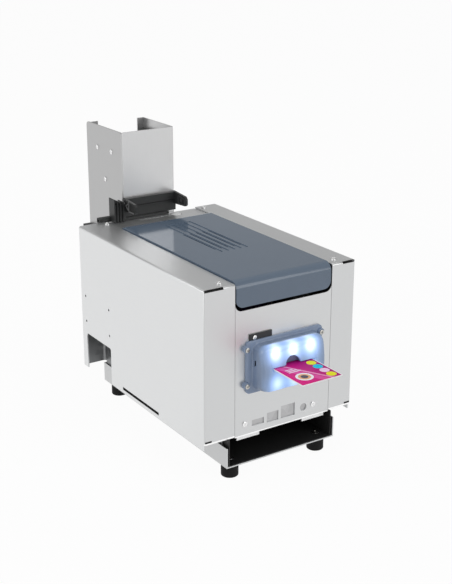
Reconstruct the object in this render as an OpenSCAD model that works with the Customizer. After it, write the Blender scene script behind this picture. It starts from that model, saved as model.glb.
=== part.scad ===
// Desktop card printer: folded sheet casing round a card drive, with a hinged lid that
// carries the print head, a lit exit bezel and a tall open card hopper behind the casing.
// Coordinates: x from the middle of the machine, y from the casing's front face towards
// the back, z up from the table. stand() moves this to the middle of the footprint.

/* [Card] */
// Width of a card, across its travel
card_w = 54; // [50:0.5:58]
// Length of a card, along its travel
card_l = 85.6; // [80:0.2:90]
// Thickness of a card
card_t = 0.76; // [0.5:0.02:1]
// Radius of a card's corners
card_corner_r = 1; // [0.8:0.02:3.2]
// Height of the card path above the table
card_z = 132.2; // [128:0.1:136]
// How far the card stands out of the casing's front face
card_out = 75; // [70:0.5:80]

/* [Casing] */
// Width of the casing over both side panels
case_w = 201.7; // [198:0.1:212]
// Depth of the casing, front to rear edge
case_d = 290.7; // [290.4:0.1:292]
// Height of the casing's top face above the table
case_top = 229; // [227:0.5:233]
// Thickness of the casing sheet
sheet = 1.5; // [1:0.1:1.6]
// Outer radius of the casing's folds
bend_r = 2.5; // [2:0.1:4]
// Height of the side panels' lower edge
side_bottom = 44.3; // [43:0.1:46]
// Height of the front flanges' lower edge
front_bottom = 51.2; // [50:0.1:53]
// Width of the left panel's top and front flange
left_flange = 39.3; // [37:0.1:40]
// Width of the right panel's top and front flange
right_flange = 32.9; // [31:0.1:33.5]
// Depth of the strip that closes the top behind the lid
strip_d = 35.2; // [34.8:0.1:35.6]
// Height of the lid's cut-out above the table, in the front panel
cutout_z = 197.5; // [195:0.5:199]
// Radius of that cut-out's lower corners
cutout_r = 8.5; // [6:0.5:10]

/* [Lid] */
// Wall of the lid
lid_wall = 2; // [1.5:0.1:2.5]
// How far the lid stands above the casing
lid_proud = 2; // [1.5:0.1:3]
// Gap between lid and casing at each side
lid_gap = 1.5; // [1.2:0.1:2]
// Gap below the lid's front
lid_front_gap = 3.8; // [3:0.1:5]
// Radius of the fold along the lid's front edge
lid_front_r = 10; // [6:0.5:12]
// Radius of the lid's lower front corners
lid_corner_r = 9; // [6:0.5:10]
// Radius of the lid's rounded rear edge, about the hinge pin
lid_rear_r = 6.5; // [6.2:0.1:7]
// Radius of the hinge pin
hinge_pin_r = 2; // [1.5:0.1:2.2]
// Number of vent grooves in the lid
groove_count = 5; // [3:1:7]
// Distance between neighbouring grooves
groove_pitch = 8.7; // [7:0.1:10]

/* [Card drive] */
// Radius of the platen, exit and transport rollers
roller_r = 6; // [5.5:0.1:6.3]
// Radius of the drive rollers' shafts
shaft_r = 3; // [2.5:0.1:3.2]
// Radius of the pinch rollers above the card
pinch_r = 4.5; // [4:0.1:5]
// Distance of the exit rollers behind the casing's front face
exit_y = 8.5; // [8.4:0.1:9.5]
// Distance of the platen roller behind the front face
platen_y = 118; // [116:0.5:120]
// Distance of the transport rollers behind the front face
transport_y = 200; // [195:0.5:205]
// Tooth size of the drive gears
gear_module = 0.9; // [0.8:0.05:0.95]
// Teeth of the platen gear
platen_teeth = 40; // [36:4:44]
// Teeth of the motor pinion
pinion_teeth = 16; // [16:1:18]

/* [Hopper] */
// Height of the hopper's top edge above the table
hopper_top = 338.8; // [320:1:360]
// Width of the hopper over its side plates
hopper_w = 75.8; // [75:0.1:77]
// Depth of the hopper's left plate
hopper_left_d = 94.9; // [94:0.1:96]
// Depth of the hopper's right plate
hopper_right_d = 78.1; // [76:0.1:79]

/* [Base] */
// Width of the base tray
tray_w = 148.4; // [147.6:0.1:149]
// Height of the feet
foot_h = 17.5; // [15:0.5:20]
// Height of the tray's walls above its underside
tray_h = 24.4; // [20:0.1:25]
// Radius of a foot at its top
foot_r = 10; // [8:0.5:12]

/* [Bezel] */
// Width of the exit bezel's flange
bezel_w = 102.6; // [100:0.2:106]
// Height of the exit bezel's flange
bezel_h = 61.6; // [60:0.2:64]
// How far the bezel's dome stands out of the front face
bezel_out = 24; // [22:0.2:26]

/* [Hidden] */
$fn = 48;

// Clearances
gap = 0.3;            // between neighbours that only lie side by side
seam = 0.15;          // half the seam between two casing panels
run_clear = 0.05;     // radial, round a turning shaft
roll_gap = 0.05;      // between a card and a roller's rubber

// Card path
card_low = card_z - card_t / 2;
card_high = card_z + card_t / 2;
roller_z = card_low - roll_gap - roller_r;
pinch_z = card_high + roll_gap + pinch_r;
deck_top = card_low - gap;
deck_t = 3;
rail_h = card_t + gap + 0.14;

// Casing places
side_x = case_w / 2;
left_seam = -side_x + left_flange;
right_seam = side_x - right_flange;
strip_y = case_d - strip_d;
lid_x0 = left_seam + lid_gap;
lid_x1 = right_seam - lid_gap;
lid_top = case_top + lid_proud;
lid_bottom = cutout_z + lid_front_gap;
hinge_y = strip_y - 0.6 - lid_rear_r;
hinge_z = lid_top - lid_rear_r;
barrel_r = lid_rear_r - lid_wall;

// Base places
tray_front = -3.5;
tray_rear = case_d - 2.7;
tray_floor = foot_h + sheet;
tray_top = foot_h + tray_h;
plate_out = tray_w / 2 - sheet - gap;
plate_in = plate_out - sheet;
foot_x = tray_w / 2 - 14.2;
foot_y = [12.4, case_d - 16.5];
foot_screw_r = 2;
liner_t = 0.8;

// Engine places
engine_x = plate_in - gap;
base_z = 56;
engine_floor = base_z + sheet;
frame_in = 41;
frame_t = 3;
frame_out = frame_in + frame_t;
deck_z = case_top - 24;
frame_top = deck_z - gap;
engine_rear = case_d - 6.7;
chassis_front = 9;
rail_z = case_top - sheet - gap - 2;
chassis_top = rail_z - gap;
rail_inset = 15.3;

// Front panel: ports as [x from, z from, x to, z to], screws as [x, z]
ports = [[-38.8, 59.1, -22.6, 66.1], [-18.5, 57.8, -2.8, 69.6], [0.7, 57.9, 20, 73.1]];
port_hole = [32, 64.3];
port_hole_r = 4.5;
front_screw_at = [[-48.4, 64.1], [45.6, 64.6]];
shield_y = 3.4;
shield_x = [left_seam + 3.5, right_seam - 4];
shield_top = 84;
shield_tabs = [[shield_x[0] + 1.3, shield_x[0] + 31.6], [shield_x[1] - 31, shield_x[1]]];
lip_d = 3;

// Screws on top as [x, y]
casing_screw_at = [[-side_x + 27.1, 12.7], [side_x - 20.8, 13.6],
    [-side_x + 34.5, case_d - 9.7], [side_x - 25.3, case_d - 9.7]];

// Side panel: fixing holes, cable notch and slot as distances from front and table
fix_hole_r = 1.6;
fix_pitch_y = 62;
fix_pitch_z = 33.4;
fix_y = case_d - 42.4;
fix_z = 124.4;
notch_y = [case_d - 75.7, case_d - 11.5];
notch_top = 91.4;
side_slot_y = [99.5, 185.4];
side_slot_z = [48.5, 51.5];

// Bezel
bezel_x = 2.6;
bezel_z = card_z - 1.1;
bezel_rim = 3;
bezel_wall = 2.2;
bezel_screw_at = [for (x = [bezel_x - bezel_w / 2, bezel_x + bezel_w / 2 - 2.5], s = [-1, 1])
    [x, card_z + s * 21.2]];
boss_r = 4.2;
slot_half = card_w / 2 + 1.5;
slot_h = 3.4;
thumb_r = 9.8;
tab_screw_x = bezel_x - bezel_w / 2 + 11.5;
tab_z = bezel_z + bezel_h / 2 + gap;
tab_screw_z = tab_z + 2.6;

// Gears
gear_gap = 0.09;
gear_r = gear_module * platen_teeth / 2;
pinion_r = gear_module * pinion_teeth / 2;
motor_z = roller_z - gear_r - pinion_r;
motor_r = 17;
gear_x = -frame_out - 2;
gear_w = 6;
pulley_r = 5;
belt_x = frame_out + 2;
belt_w = 5;
belt_t = 1.2;

// Ribbon
supply_y = 72;
take_up_y = 170;
spool_z = 152;
spool_r = 8;
supply_wound_r = 18;
take_up_wound_r = 11;
spool_half = 32;
film_z = card_high + 0.32;
film_t = 0.2;
head_z = film_z + film_t + gap;
head_y = [110, 124];

// Hopper and feeder
hopper_y = case_d + 1.4;
hopper_low = card_z + 4;
guide_in = card_w / 2 + 0.7;
guide_out = hopper_w / 2 - sheet - gap;
guide_top = hopper_top - 13.3;
stack_front = hopper_y + sheet + 1.3;
feeder_wall = 5;
feeder_half = hopper_w / 2 + 8.1;
feeder_rear = hopper_y + hopper_left_d + feeder_wall;
feeder_front = engine_rear + sheet + 2;
feeder_floor = 100;
feeder_top = 200;
feeder_ribs = 4;
feed_y = hopper_y + 13;
weight_h = 18;
weight_low = card_low + gap;

// Row origin: the middle of the footprint, on the table
row_shift = (feeder_rear - card_out) / 2;

// ---------------------------------------------------------------- helpers

// Moves the machine so that the origin is the middle of its footprint
module stand() {
    translate([0, -row_shift, 0]) children();
}

// Box from one corner to the opposite one
module block(from, to) {
    translate(from) cube([to[0] - from[0], to[1] - from[1], to[2] - from[2]]);
}

// Round bars along each axis
module bar_x(x0, x1, y, z, r) {
    translate([x0, y, z]) rotate([0, 90, 0]) cylinder(h = x1 - x0, r = r);
}
module bar_y(x, y0, y1, z, r) {
    translate([x, y0, z]) rotate([-90, 0, 0]) cylinder(h = y1 - y0, r = r);
}
module bar_z(x, y, z0, z1, r) {
    translate([x, y, z0]) cylinder(h = z1 - z0, r = r);
}

// Lays an outline drawn as [y, z] across the machine, from x0 to x1
module across(x0, x1) {
    translate([x0, 0, 0]) rotate([90, 0, 90]) linear_extrude(x1 - x0) children();
}

// Stands an outline drawn as [x, z] up, from y0 to y1
module fore_aft(y0, y1) {
    translate([0, y1, 0]) rotate([90, 0, 0]) linear_extrude(y1 - y0) children();
}

// Rectangle centred on the origin with four round corners
module round_rect(w, h, r) {
    square([w - 2 * r, h], center = true);
    square([w, h - 2 * r], center = true);
    for (sx = [-1, 1], sy = [-1, 1])
        translate([sx * (w / 2 - r), sy * (h / 2 - r)]) circle(r);
}

// Rectangle from the origin whose corner at the origin is round
module one_round(w, h, r) {
    translate([r, 0]) square([w - r, h]);
    translate([0, r]) square([w, h - r]);
    translate([r, r]) circle(r);
}

// Slot with round ends between two points of a plane, of half width r
module slot_2d(a, b, r) {
    d = b - a;
    translate(a) circle(r);
    translate(b) circle(r);
    translate(a) rotate(atan2(d[1], d[0])) translate([0, -r]) square([norm(d), 2 * r]);
}

// Pan head screw pointing down: head on z = 0, shank below it
module pan_screw(head_r, head_h, shank_r, shank_l) {
    rotate_extrude() {
        difference() {
            intersection() {
                square([head_r, head_h]);
                translate([0, head_h - head_r * 1.6]) circle(head_r * 1.6);
            }
            translate([0, head_h - 0.5]) square([head_r * 0.35, 1]);
        }
        translate([0, -shank_l]) square([shank_r, shank_l + 0.01]);
    }
}

// Involute gear outline, a tooth centred on the x axis
function involute(base, a) = [base * (cos(a) + a * PI / 180 * sin(a)),
    base * (sin(a) - a * PI / 180 * cos(a))];
function turn(p, a) = [p[0] * cos(a) - p[1] * sin(a), p[0] * sin(a) + p[1] * cos(a)];
function roll_angle(base, r) = sqrt(max(pow(r / base, 2) - 1, 0)) * 180 / PI;
function flank_half(teeth, m, base) =
    90 / teeth - gear_gap / (m * teeth) * 180 / PI
    + roll_angle(base, m * teeth / 2) - 20;
function gear_tooth(teeth, m, steps) =
    let (pitch = m * teeth / 2, base = pitch * cos(20), tip = pitch + m * 0.95,
        root = pitch - 1.25 * m, half = flank_half(teeth, m, base),
        last = roll_angle(base, tip))
    concat([turn([root, 0], -half)],
        [for (i = [0:steps]) turn(involute(base, last * i / steps), -half)],
        [for (i = [steps:-1:0]) let (p = involute(base, last * i / steps))
            turn([p[0], -p[1]], half)],
        [turn([root, 0], half)]);
module gear_2d(teeth, m) {
    tooth = gear_tooth(teeth, m, 4);
    polygon([for (k = [0:teeth - 1]) for (p = tooth) turn(p, k * 360 / teeth)]);
}

// ---------------------------------------------------------------- base

// Open-fronted folded tray that the whole machine stands in
module base_tray() {
    color("darkgray") difference() {
        block([-tray_w / 2, tray_front, foot_h], [tray_w / 2, tray_rear, tray_top]);
        block([-tray_w / 2 + sheet, tray_front - 1, tray_floor],
            [tray_w / 2 - sheet, tray_rear - sheet, tray_top + 1]);
        for (sx = [-1, 1], y = foot_y)
            bar_z(sx * foot_x, y, foot_h - 1, tray_floor + 1, foot_screw_r + 0.1);
        for (i = [0:5])
            across(-tray_w, tray_w) slot_2d([90 + i * 18, foot_h + 12],
                [100 + i * 18, foot_h + 12], 1.5);
    }
}

// Black insulating sheet that lines the tray's floor, sides and back
module tray_liner() {
    in = engine_x - liner_t;
    color("dimgray") difference() {
        block([-engine_x, tray_front + 1, tray_floor],
            [engine_x, engine_rear, base_z - gap]);
        block([-in, tray_front - 1, tray_floor + liner_t],
            [in, engine_rear - liner_t, base_z]);
        block([-engine_x - 1, tray_front, front_bottom - gap],
            [engine_x + 1, shield_y + sheet + gap, base_z]);
        for (sx = [-1, 1], y = foot_y)
            bar_z(sx * foot_x, y, foot_h, tray_floor + 2, 4.6);
    }
}

// Four tapered feet, bored for their screws and dished underneath
module rubber_feet() {
    color("dimgray") for (sx = [-1, 1], y = foot_y)
        translate([sx * foot_x, y, 0]) rotate_extrude()
            difference() {
                polygon([[0, 0], [foot_r - 1.8, 0], [foot_r - 0.8, 1], [foot_r, foot_h],
                    [0, foot_h]]);
                square([foot_screw_r + 0.1, foot_h]);
                square([5.5, 6]);
            }
}

// Screws from the tray's floor down into the feet
module foot_screws() {
    color("silver") for (sx = [-1, 1], y = foot_y)
        translate([sx * foot_x, y, tray_floor])
            pan_screw(4, 2.2, foot_screw_r, foot_h - 5);
}

board_z = tray_floor + liner_t + 5;
board_y = [120, case_d - 25.7];
board_half = foot_x + 2;
board_t = 1.6;
standoff_at = [for (s = [-1, 1], y = [board_y[0] + 6, board_y[1] - 6]) [s * (board_half - 6), y]];

// Circuit board on four stand-offs
module control_board() {
    color("seagreen") {
        difference() {
            block([-board_half, board_y[0], board_z], [board_half, board_y[1], board_z + board_t]);
            for (p = standoff_at)
                bar_z(p[0], p[1], board_z - 1, board_z + 2, 1.6);
        }
        for (p = standoff_at)
            difference() {
                bar_z(p[0], p[1], tray_floor + liner_t, board_z, 3.2);
                bar_z(p[0], p[1], tray_floor, board_z + 1, 1.6);
            }
    }
}

// Chips, capacitors and connectors that stand on the board
module board_components() {
    z = board_z + board_t;
    y = board_y[0];
    color("dimgray") {
        block([-14, y + 60, z], [14, y + 88, z + 2.4]);
        block([22, y + 30, z], [40, y + 42, z + 2]);
        block([-44, y + 26, z], [-26, y + 38, z + 2]);
        for (i = [0:3])
            block([-board_half + 0.5, board_y[1] - 45 + i * 11, z],
                [-board_half + 11, board_y[1] - 37 + i * 11, z + 7]);
        for (i = [0:2])
            bar_z(34, y + 70 + i * 16, z, z + 14, 5);
        for (i = [0:5])
            block([-48 + i * 14, y + 8, z], [-38 + i * 14, y + 13, z + 6]);
    }
}

// ---------------------------------------------------------------- casing

// Solid corner of the casing: side face at x = inset, front face at y = inset
module corner_block(inset, r, w) {
    intersection() {
        linear_extrude(case_top) translate([inset, inset])
            one_round(w, case_d + 1, r);
        fore_aft(-1, case_d + 1) translate([inset, case_top - inset]) mirror([0, 1])
            one_round(w, case_top, r);
        across(0, w + 2 * inset) translate([inset, case_top - inset]) mirror([0, 1])
            one_round(case_d + 1, case_top, r);
    }
}

// One side panel with its top and front flange, drawn with the side face at x = 0.
// relief_l is the length of the slot that is cut at the top front corner
module side_panel(flange, relief_l) {
    difference() {
        union() {
            difference() {
                corner_block(0, bend_r, flange + 5);
                corner_block(sheet, bend_r - sheet + 0.01, flange + 10);
                block([-1, -1, -1], [flange + 9, bend_r + 0.5, front_bottom]);
                block([-1, -1, -1], [flange + 9, case_d + 9, side_bottom]);
            }
            block([bend_r + 1, sheet - 0.5, front_bottom],
                [flange, lip_d, front_bottom + sheet]);
        }
        block([flange - seam, -1, -1], [flange + 20, strip_y, case_top + 1]);
        block([flange, -1, -1], [flange + 20, case_d + 9, case_top + 1]);
        block([-1, case_d, -1], [flange + 20, case_d + 9, case_top + 1]);
        translate([0, bend_r, case_top - bend_r]) rotate([-45, 0, 0])
            block([1, -6, -0.9], [1 + relief_l, 0, 0.9]);
        for (sy = [-1, 1], sz = [-1, 1])
            bar_x(-1, sheet + 1, fix_y + sy * fix_pitch_y / 2, fix_z + sz * fix_pitch_z / 2,
                fix_hole_r);
        across(-1, sheet + 1)
            slot_2d([side_slot_y[0] + 1.5, side_slot_z[0] + 1.5],
                [side_slot_y[1] - 1.5, side_slot_z[0] + 1.5], 1.5);
    }
}

module left_side_panel() {
    color("lightgray") difference() {
        translate([-side_x, 0, 0]) side_panel(left_flange, 22);
        across(-side_x - 1, -side_x + sheet + 1) {
            translate([notch_y[0], 0]) square([notch_y[1] - notch_y[0], notch_top - 3]);
            translate([notch_y[0] + 3, 0])
                square([notch_y[1] - notch_y[0] - 6, notch_top]);
            for (y = [notch_y[0] + 3, notch_y[1] - 3])
                translate([y, notch_top - 3]) circle(3);
        }
        casing_screw_holes(1.6);
    }
}

module right_side_panel() {
    color("lightgray") difference() {
        mirror([1, 0, 0]) translate([-side_x, 0, 0]) side_panel(right_flange, 17);
        casing_screw_holes(1.6);
    }
}

// Holes for the screws on top, through everything they pass
module casing_screw_holes(r) {
    for (p = casing_screw_at)
        bar_z(p[0], p[1], case_top - 12, case_top + 1, r);
}

// Front sheet between the flanges, with ears that round the lid's cut-out
module front_panel() {
    x0 = left_seam + seam;
    x1 = right_seam - seam;
    color("gainsboro") difference() {
        union() {
            fore_aft(0, sheet) difference() {
                translate([x0, front_bottom - 1.2])
                    square([x1 - x0, cutout_z + cutout_r - front_bottom + 1.2]);
                translate([x0 + cutout_r, cutout_z])
                    square([x1 - x0 - 2 * cutout_r, cutout_r + 1]);
                for (x = [x0 + cutout_r, x1 - cutout_r])
                    translate([x, cutout_z + cutout_r]) circle(cutout_r);
            }
            block([x0, 0, front_bottom - 1.2], [x1, lip_d, front_bottom - 1.2 + sheet]);
        }
        for (p = ports)
            block([p[0], -1, p[1]], [p[2], sheet + 1, p[3]]);
        bar_y(port_hole[0], -1, sheet + 1, port_hole[1], port_hole_r);
        for (p = front_screw_at)
            bar_y(p[0], -1, sheet + 1, p[1], 1.6);
        block([-card_w / 2 - 4, -1, card_z - 6], [card_w / 2 + 4, sheet + 1, card_z + 8]);
        for (p = bezel_screw_at)
            bar_y(p[0], -1, sheet + 1, p[1], 1.6);
        bar_y(tab_screw_x, -1, sheet + 1, tab_screw_z, 1.3);
    }
}

knob_at = [33, case_d - 10.7];
knob_r = 6.4;

// Strip across the top behind the lid, one sheet lower than the flanges
module rear_strip() {
    z1 = case_top - sheet - 0.1;
    z0 = z1 - sheet;
    color("silver") difference() {
        union() {
            block([left_seam - 13.6, strip_y, z0], [right_seam + 13.9, case_d - sheet - 0.1, z1]);
            block([lid_x0, case_d - sheet - gap - 0.1, case_top - 14], [lid_x1, case_d - gap, z1]);
        }
        bar_z(knob_at[0], knob_at[1], z0 - 1, z1 + 1, knob_r + 0.6);
        for (i = [0:7])
            translate([0, 0, z0 - 1]) linear_extrude(sheet + 2)
                slot_2d([-20.4 + i * 6, case_d - 11.7], [-16.9 + i * 6, case_d - 11.7], 0.7);
        casing_screw_holes(1.6);
    }
}

// Pan head screws: four on top, two beside the ports
module casing_screws() {
    color("white") for (p = casing_screw_at)
        translate([p[0], p[1], case_top]) pan_screw(2.8, 1.8, 1.5, case_top - rail_z);
}

module front_screws() {
    color("white") for (p = front_screw_at)
        translate([p[0], 0, p[1]]) rotate([90, 0, 0]) pan_screw(2.8, 1.6, 1.5, 6);
}

// ---------------------------------------------------------------- chassis

// Upright plate inside the tray; its rear end folds out to the side panel
module chassis_plate() {
    fold = 3.5;
    rear = case_d - 2.2;
    difference() {
        union() {
            block([plate_in, chassis_front, tray_floor + gap],
                [plate_out, rear - sheet - fold, chassis_top]);
            block([plate_out + fold, rear - sheet, side_bottom + 1.2],
                [side_x - sheet - gap, rear, chassis_top]);
            translate([plate_out + fold, rear - sheet - fold, side_bottom + 1.2])
                linear_extrude(chassis_top - side_bottom - 1.2) intersection() {
                    difference() {
                        circle(fold + sheet);
                        circle(fold);
                    }
                    translate([-fold - sheet, 0]) square(fold + sheet);
                }
        }
        across(plate_in - 1, plate_out + 1) {
            translate([notch_y[0] - 7, side_bottom + 10.2]) square([66, 45]);
            translate([40, 110]) square([110, 70]);
        }
        block([0, -1, lid_bottom - gap], [max(lid_x1, -lid_x0) + gap, strip_y, case_top]);
    }
}

module chassis_right() {
    color("darkgray") chassis_plate();
}

module chassis_left() {
    color("darkgray") mirror([1, 0, 0]) chassis_plate();
}

// Bars on the chassis plates that the casing's top flanges are screwed to
module top_rails() {
    color("darkgray") difference() {
        union() {
            block([-side_x + rail_inset, 6, rail_z], [left_seam - 2, strip_y - 0.7, rail_z + 2]);
            block([right_seam + 1.5, 6, rail_z], [side_x - rail_inset, strip_y - 0.7, rail_z + 2]);
        }
        casing_screw_holes(1.55);
    }
}

// Black floor of the print engine
module engine_base() {
    color("dimgray") difference() {
        union() {
            block([-engine_x, 5.2, base_z], [engine_x, engine_rear - gap, engine_floor]);
            for (sx = [-1, 1])
                block([sx * (frame_out + 5) - 2, 20, engine_floor - 0.01],
                    [sx * (frame_out + 5) + 2, engine_rear - 20, engine_floor + 6]);
        }
        for (x = [-30, 0, 30], y = [150, 230])
            translate([x, y, base_z - 1]) linear_extrude(sheet + 2)
                slot_2d([-8, 0], [8, 0], 3);
    }
}

// Shaft places in the frames as [y, z, bore radius]
bush_r = 5;
drive_at = [[exit_y, roller_z], [platen_y, roller_z], [transport_y, roller_z]];
pinch_at = [[exit_y, pinch_z], [transport_y, pinch_z]];
pinch_shaft_r = 2;
spool_at = [[supply_y, spool_z], [take_up_y, spool_z]];
spool_shaft_r = 3;

// Outline of a frame plate as [y, z]: upright ends, arched foot, stepped top
module frame_outline() {
    rear = engine_rear - gap;
    difference() {
        polygon([[6, engine_floor], [6, 92], [2.2, 98], [2.2, 146], [14, 160],
            [30, 160], [44, frame_top], [rear, frame_top], [rear, engine_floor]]);
        translate([60, engine_floor + 12]) round_cut(24, 26);
        translate([rear - 78.7, engine_floor + 22]) round_cut(40, 50);
        translate([rear - 48.7, 165]) round_cut(50, 40);
        translate([118, 182]) round_cut(60, 24);
    }
}
module round_cut(w, h) {
    round_rect(w, h, 5);
}

// Frame plate that carries every roller; mirrored for the other side
module frame_plate() {
    difference() {
        across(frame_in, frame_out) frame_outline();
        for (p = drive_at)
            bar_x(frame_in - 1, frame_out + 1, p[0], p[1], bush_r + 0.02);
        for (p = pinch_at)
            bar_x(frame_in - 1, frame_out + 1, p[0], p[1], pinch_shaft_r + run_clear);
        for (p = spool_at)
            bar_x(frame_in - 1, frame_out + 1, p[0], p[1], spool_shaft_r + run_clear);
    }
}

motor_screw_z = 11;

module engine_frame_left() {
    color("dimgray") difference() {
        mirror([1, 0, 0]) frame_plate();
        bar_x(-frame_out - 1, -frame_in + 1, platen_y, motor_z, 7);
        for (s = [-1, 1])
            bar_x(-frame_out - 1, -frame_in + 1, platen_y, motor_z + s * motor_screw_z, 1.6);
    }
}

module engine_frame_right() {
    color("dimgray") frame_plate();
}

// Wall across the back of the engine, with the slot that the cards come in by
module engine_rear_wall() {
    color("dimgray") difference() {
        block([-engine_x, engine_rear, engine_floor], [engine_x, engine_rear + sheet, frame_top]);
        block([-card_w / 2 - 3, engine_rear - 1, card_z - 3],
            [card_w / 2 + 3, engine_rear + sheet + 1, card_z + 3]);
        for (x = [-58, 58])
            fore_aft(engine_rear - 1, engine_rear + sheet + 1)
                slot_2d([x, 75], [x, 170], 4);
    }
}

// Guide table under the cards, open over each drive roller, with raised edges
module card_deck() {
    half = frame_in - gap;
    color("dimgray") difference() {
        union() {
            block([-half, 2.2, deck_top - deck_t], [half, engine_rear - gap, deck_top]);
            for (sx = [-1, 1])
                block([sx * (guide_in + 2) - 2, 20, deck_top - 0.01],
                    [sx * (guide_in + 2) + 2, engine_rear - 8, deck_top + rail_h]);
        }
        for (p = drive_at) {
            block([-34, p[0] - roller_r - 0.8, deck_top - deck_t - 1],
                [34, p[0] + roller_r + 0.8, deck_top + 3]);
            for (sx = [-1, 1])
                block([sx * (frame_in - 1) - 3, p[0] - bush_r - 1.5, deck_top - deck_t - 1],
                    [sx * (frame_in - 1) + 3, p[0] + bush_r + 1.5, deck_top + 3]);
            bar_x(-half - 1, half + 1, p[0], roller_z, shaft_r + gap);
        }
        block([-half - 1, 1, deck_top - deck_t - 1], [half + 1, exit_y + 4, deck_top + 3]);
        for (x = [-18, 0, 18])
            translate([x, 0, deck_top - deck_t - 1]) linear_extrude(deck_t + 2)
                slot_2d([0, 140], [0, 180], 4);
    }
}

window_y = [30, strip_y - 40.5];
window_half = 38;
ear_x = 48;
ear_t = 3;
ear_r = barrel_r - 0.4;

// Sheet under the lid with the ribbon window, and the ears of the lid's hinge
module upper_deck() {
    color("dimgray") difference() {
        union() {
            block([-engine_x, 8, deck_z], [engine_x, engine_rear + sheet, deck_z + sheet]);
            for (sx = [-1, 1])
                across(sx * ear_x - ear_t / 2, sx * ear_x + ear_t / 2) {
                    translate([hinge_y, hinge_z]) circle(ear_r);
                    polygon([[hinge_y - 9, deck_z + sheet - 0.2], [hinge_y - ear_r, hinge_z],
                        [hinge_y, hinge_z], [hinge_y, deck_z + sheet - 0.2]]);
                }
        }
        translate([0, (window_y[0] + window_y[1]) / 2, deck_z - 1]) linear_extrude(sheet + 2)
            round_rect(2 * window_half, window_y[1] - window_y[0], 6);
        bar_x(-ear_x - 5, ear_x + 5, hinge_y, hinge_z, hinge_pin_r + run_clear);
        bar_z(knob_at[0], knob_at[1], deck_z - 1, deck_z + sheet + 1, 3 + run_clear);
    }
}

// Plate behind the front panel that blanks the unused ports; two tabs reach down
module port_shield() {
    color("darkgray") difference() {
        union() {
            block([shield_x[0], shield_y, front_bottom - 1],
                [shield_x[1], shield_y + sheet, shield_top]);
            for (t = shield_tabs)
                block([t[0], shield_y, side_bottom + 0.2],
                    [t[1], shield_y + sheet, front_bottom]);
        }
        for (p = front_screw_at)
            bar_y(p[0], shield_y - 1, shield_y + sheet + 1, p[1], 1.55);
    }
}

// ---------------------------------------------------------------- exit bezel

// Dome's sections as [share of its depth, then how far it stands in from the rim's sides,
// bottom and top]: straight walls, then a face that leans back from the slot to the top
dome_sections = [[0, 7.7, 4, 4.2], [0.5, 8.7, 4.6, 4.6], [0.68, 9.5, 5, 5.6],
    [0.75, 10.1, 5.4, 7], [0.9, 10.9, 6.2, 19.8], [0.96, 11.7, 7.2, 24.4], [1, 13.3, 9, 28.2]];

// Dome over the rim, drawn in by t on every side
module dome(t) {
    from = t > 0 ? 0 : bezel_rim;
    out = bezel_out - 0.1 - t;
    hull() for (d = dome_sections)
        translate([bezel_x, -from - (out - from) * d[0], bezel_z + (d[2] - d[3]) / 2])
            rotate([90, 0, 0]) linear_extrude(0.1)
                round_rect(bezel_w - 2 * (d[1] + t), bezel_h - d[2] - d[3] - 2 * t, 8 - t);
}

// Translucent moulding round the card exit: rim, four eared bosses and dome
module bezel() {
    color("lightsteelblue") difference() {
        union() {
            fore_aft(-bezel_rim, 0) translate([bezel_x, bezel_z]) round_rect(bezel_w, bezel_h, 5);
            for (p = bezel_screw_at)
                bar_y(p[0], -5, 0, p[1], boss_r);
            difference() {
                dome(0);
                dome(bezel_wall);
            }
            block([-slot_half - 3, -bezel_out + 1.5, card_z - 6],
                [slot_half + 3, -5, card_z + 6]);
            intersection() {
                bar_y(0, -bezel_out + 3, -11, card_z, thumb_r + 2);
                block([-20, -bezel_out, card_z], [20, 1, card_z + 20]);
            }
        }
        intersection() {
            dome(bezel_wall);
            block([-60, -5, 0], [60, 1, 300]);
        }
        block([-slot_half, -bezel_out - 1, card_z - slot_h / 2],
            [slot_half, 1, card_z + slot_h / 2]);
        intersection() {
            bar_y(0, -bezel_out - 1, -13, card_z, thumb_r);
            block([-20, -bezel_out - 1, card_z], [20, 1, card_z + 20]);
        }
        across(-slot_half - 0.5, slot_half + 1.7)
            polygon([[-bezel_out - 1, card_z], [-bezel_out + 1.1, card_z],
                [-bezel_out + 1.1, card_z + 2], [-bezel_out + 5.2, card_z + 18],
                [-bezel_out - 1, card_z + 18]]);
        block([bezel_x - bezel_w / 2, -15, card_z + 1.8],
            [bezel_x - bezel_w / 2 + 11.3, -13.6, card_z + 7.8]);
        for (p = bezel_screw_at)
            bar_y(p[0], -6, 1, p[1], 1.6);
    }
}

module bezel_screws() {
    color("gainsboro") for (p = bezel_screw_at)
        translate([p[0], -5, p[1]]) rotate([90, 0, 0])
            pan_screw(2.6, 1.6, 1.5, 6.6);
}

led_at = [for (x = [-22, 1.5, 25], s = [-1, 1]) [x, card_z + s * 17]];

// Board inside the bezel that lights it, slotted for the card
module led_board() {
    color("seagreen") difference() {
        fore_aft(-1.8, -0.2) translate([bezel_x, bezel_z])
            round_rect(bezel_w - 22.6, bezel_h - 15.6, 4);
        block([-card_w / 2 - 4, -3, card_z - 6.5], [card_w / 2 + 4, 1, card_z + 8]);
    }
}

module status_leds() {
    color("white") for (p = led_at) {
        block([p[0] - 1.75, -2.6, p[1] - 1.4], [p[0] + 1.75, -1.8, p[1] + 1.4]);
        translate([p[0], -2.6, p[1]]) rotate([90, 0, 0]) cylinder(h = 0.5, r = 1.2);
    }
}

// Small black plate screwed to the front above the bezel
module tab_plate() {
    color("dimgray") difference() {
        block([tab_screw_x - 6.5, -1.4, tab_z], [tab_screw_x + 23, -0.1, tab_z + 6.8]);
        bar_y(tab_screw_x, -3, 1, tab_screw_z, 1.5);
    }
}

module tab_screw() {
    color("white") translate([tab_screw_x, -1.4, tab_screw_z]) rotate([90, 0, 0])
        pan_screw(2.3, 1.3, 1.2, 4);
}

// ---------------------------------------------------------------- drive

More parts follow.
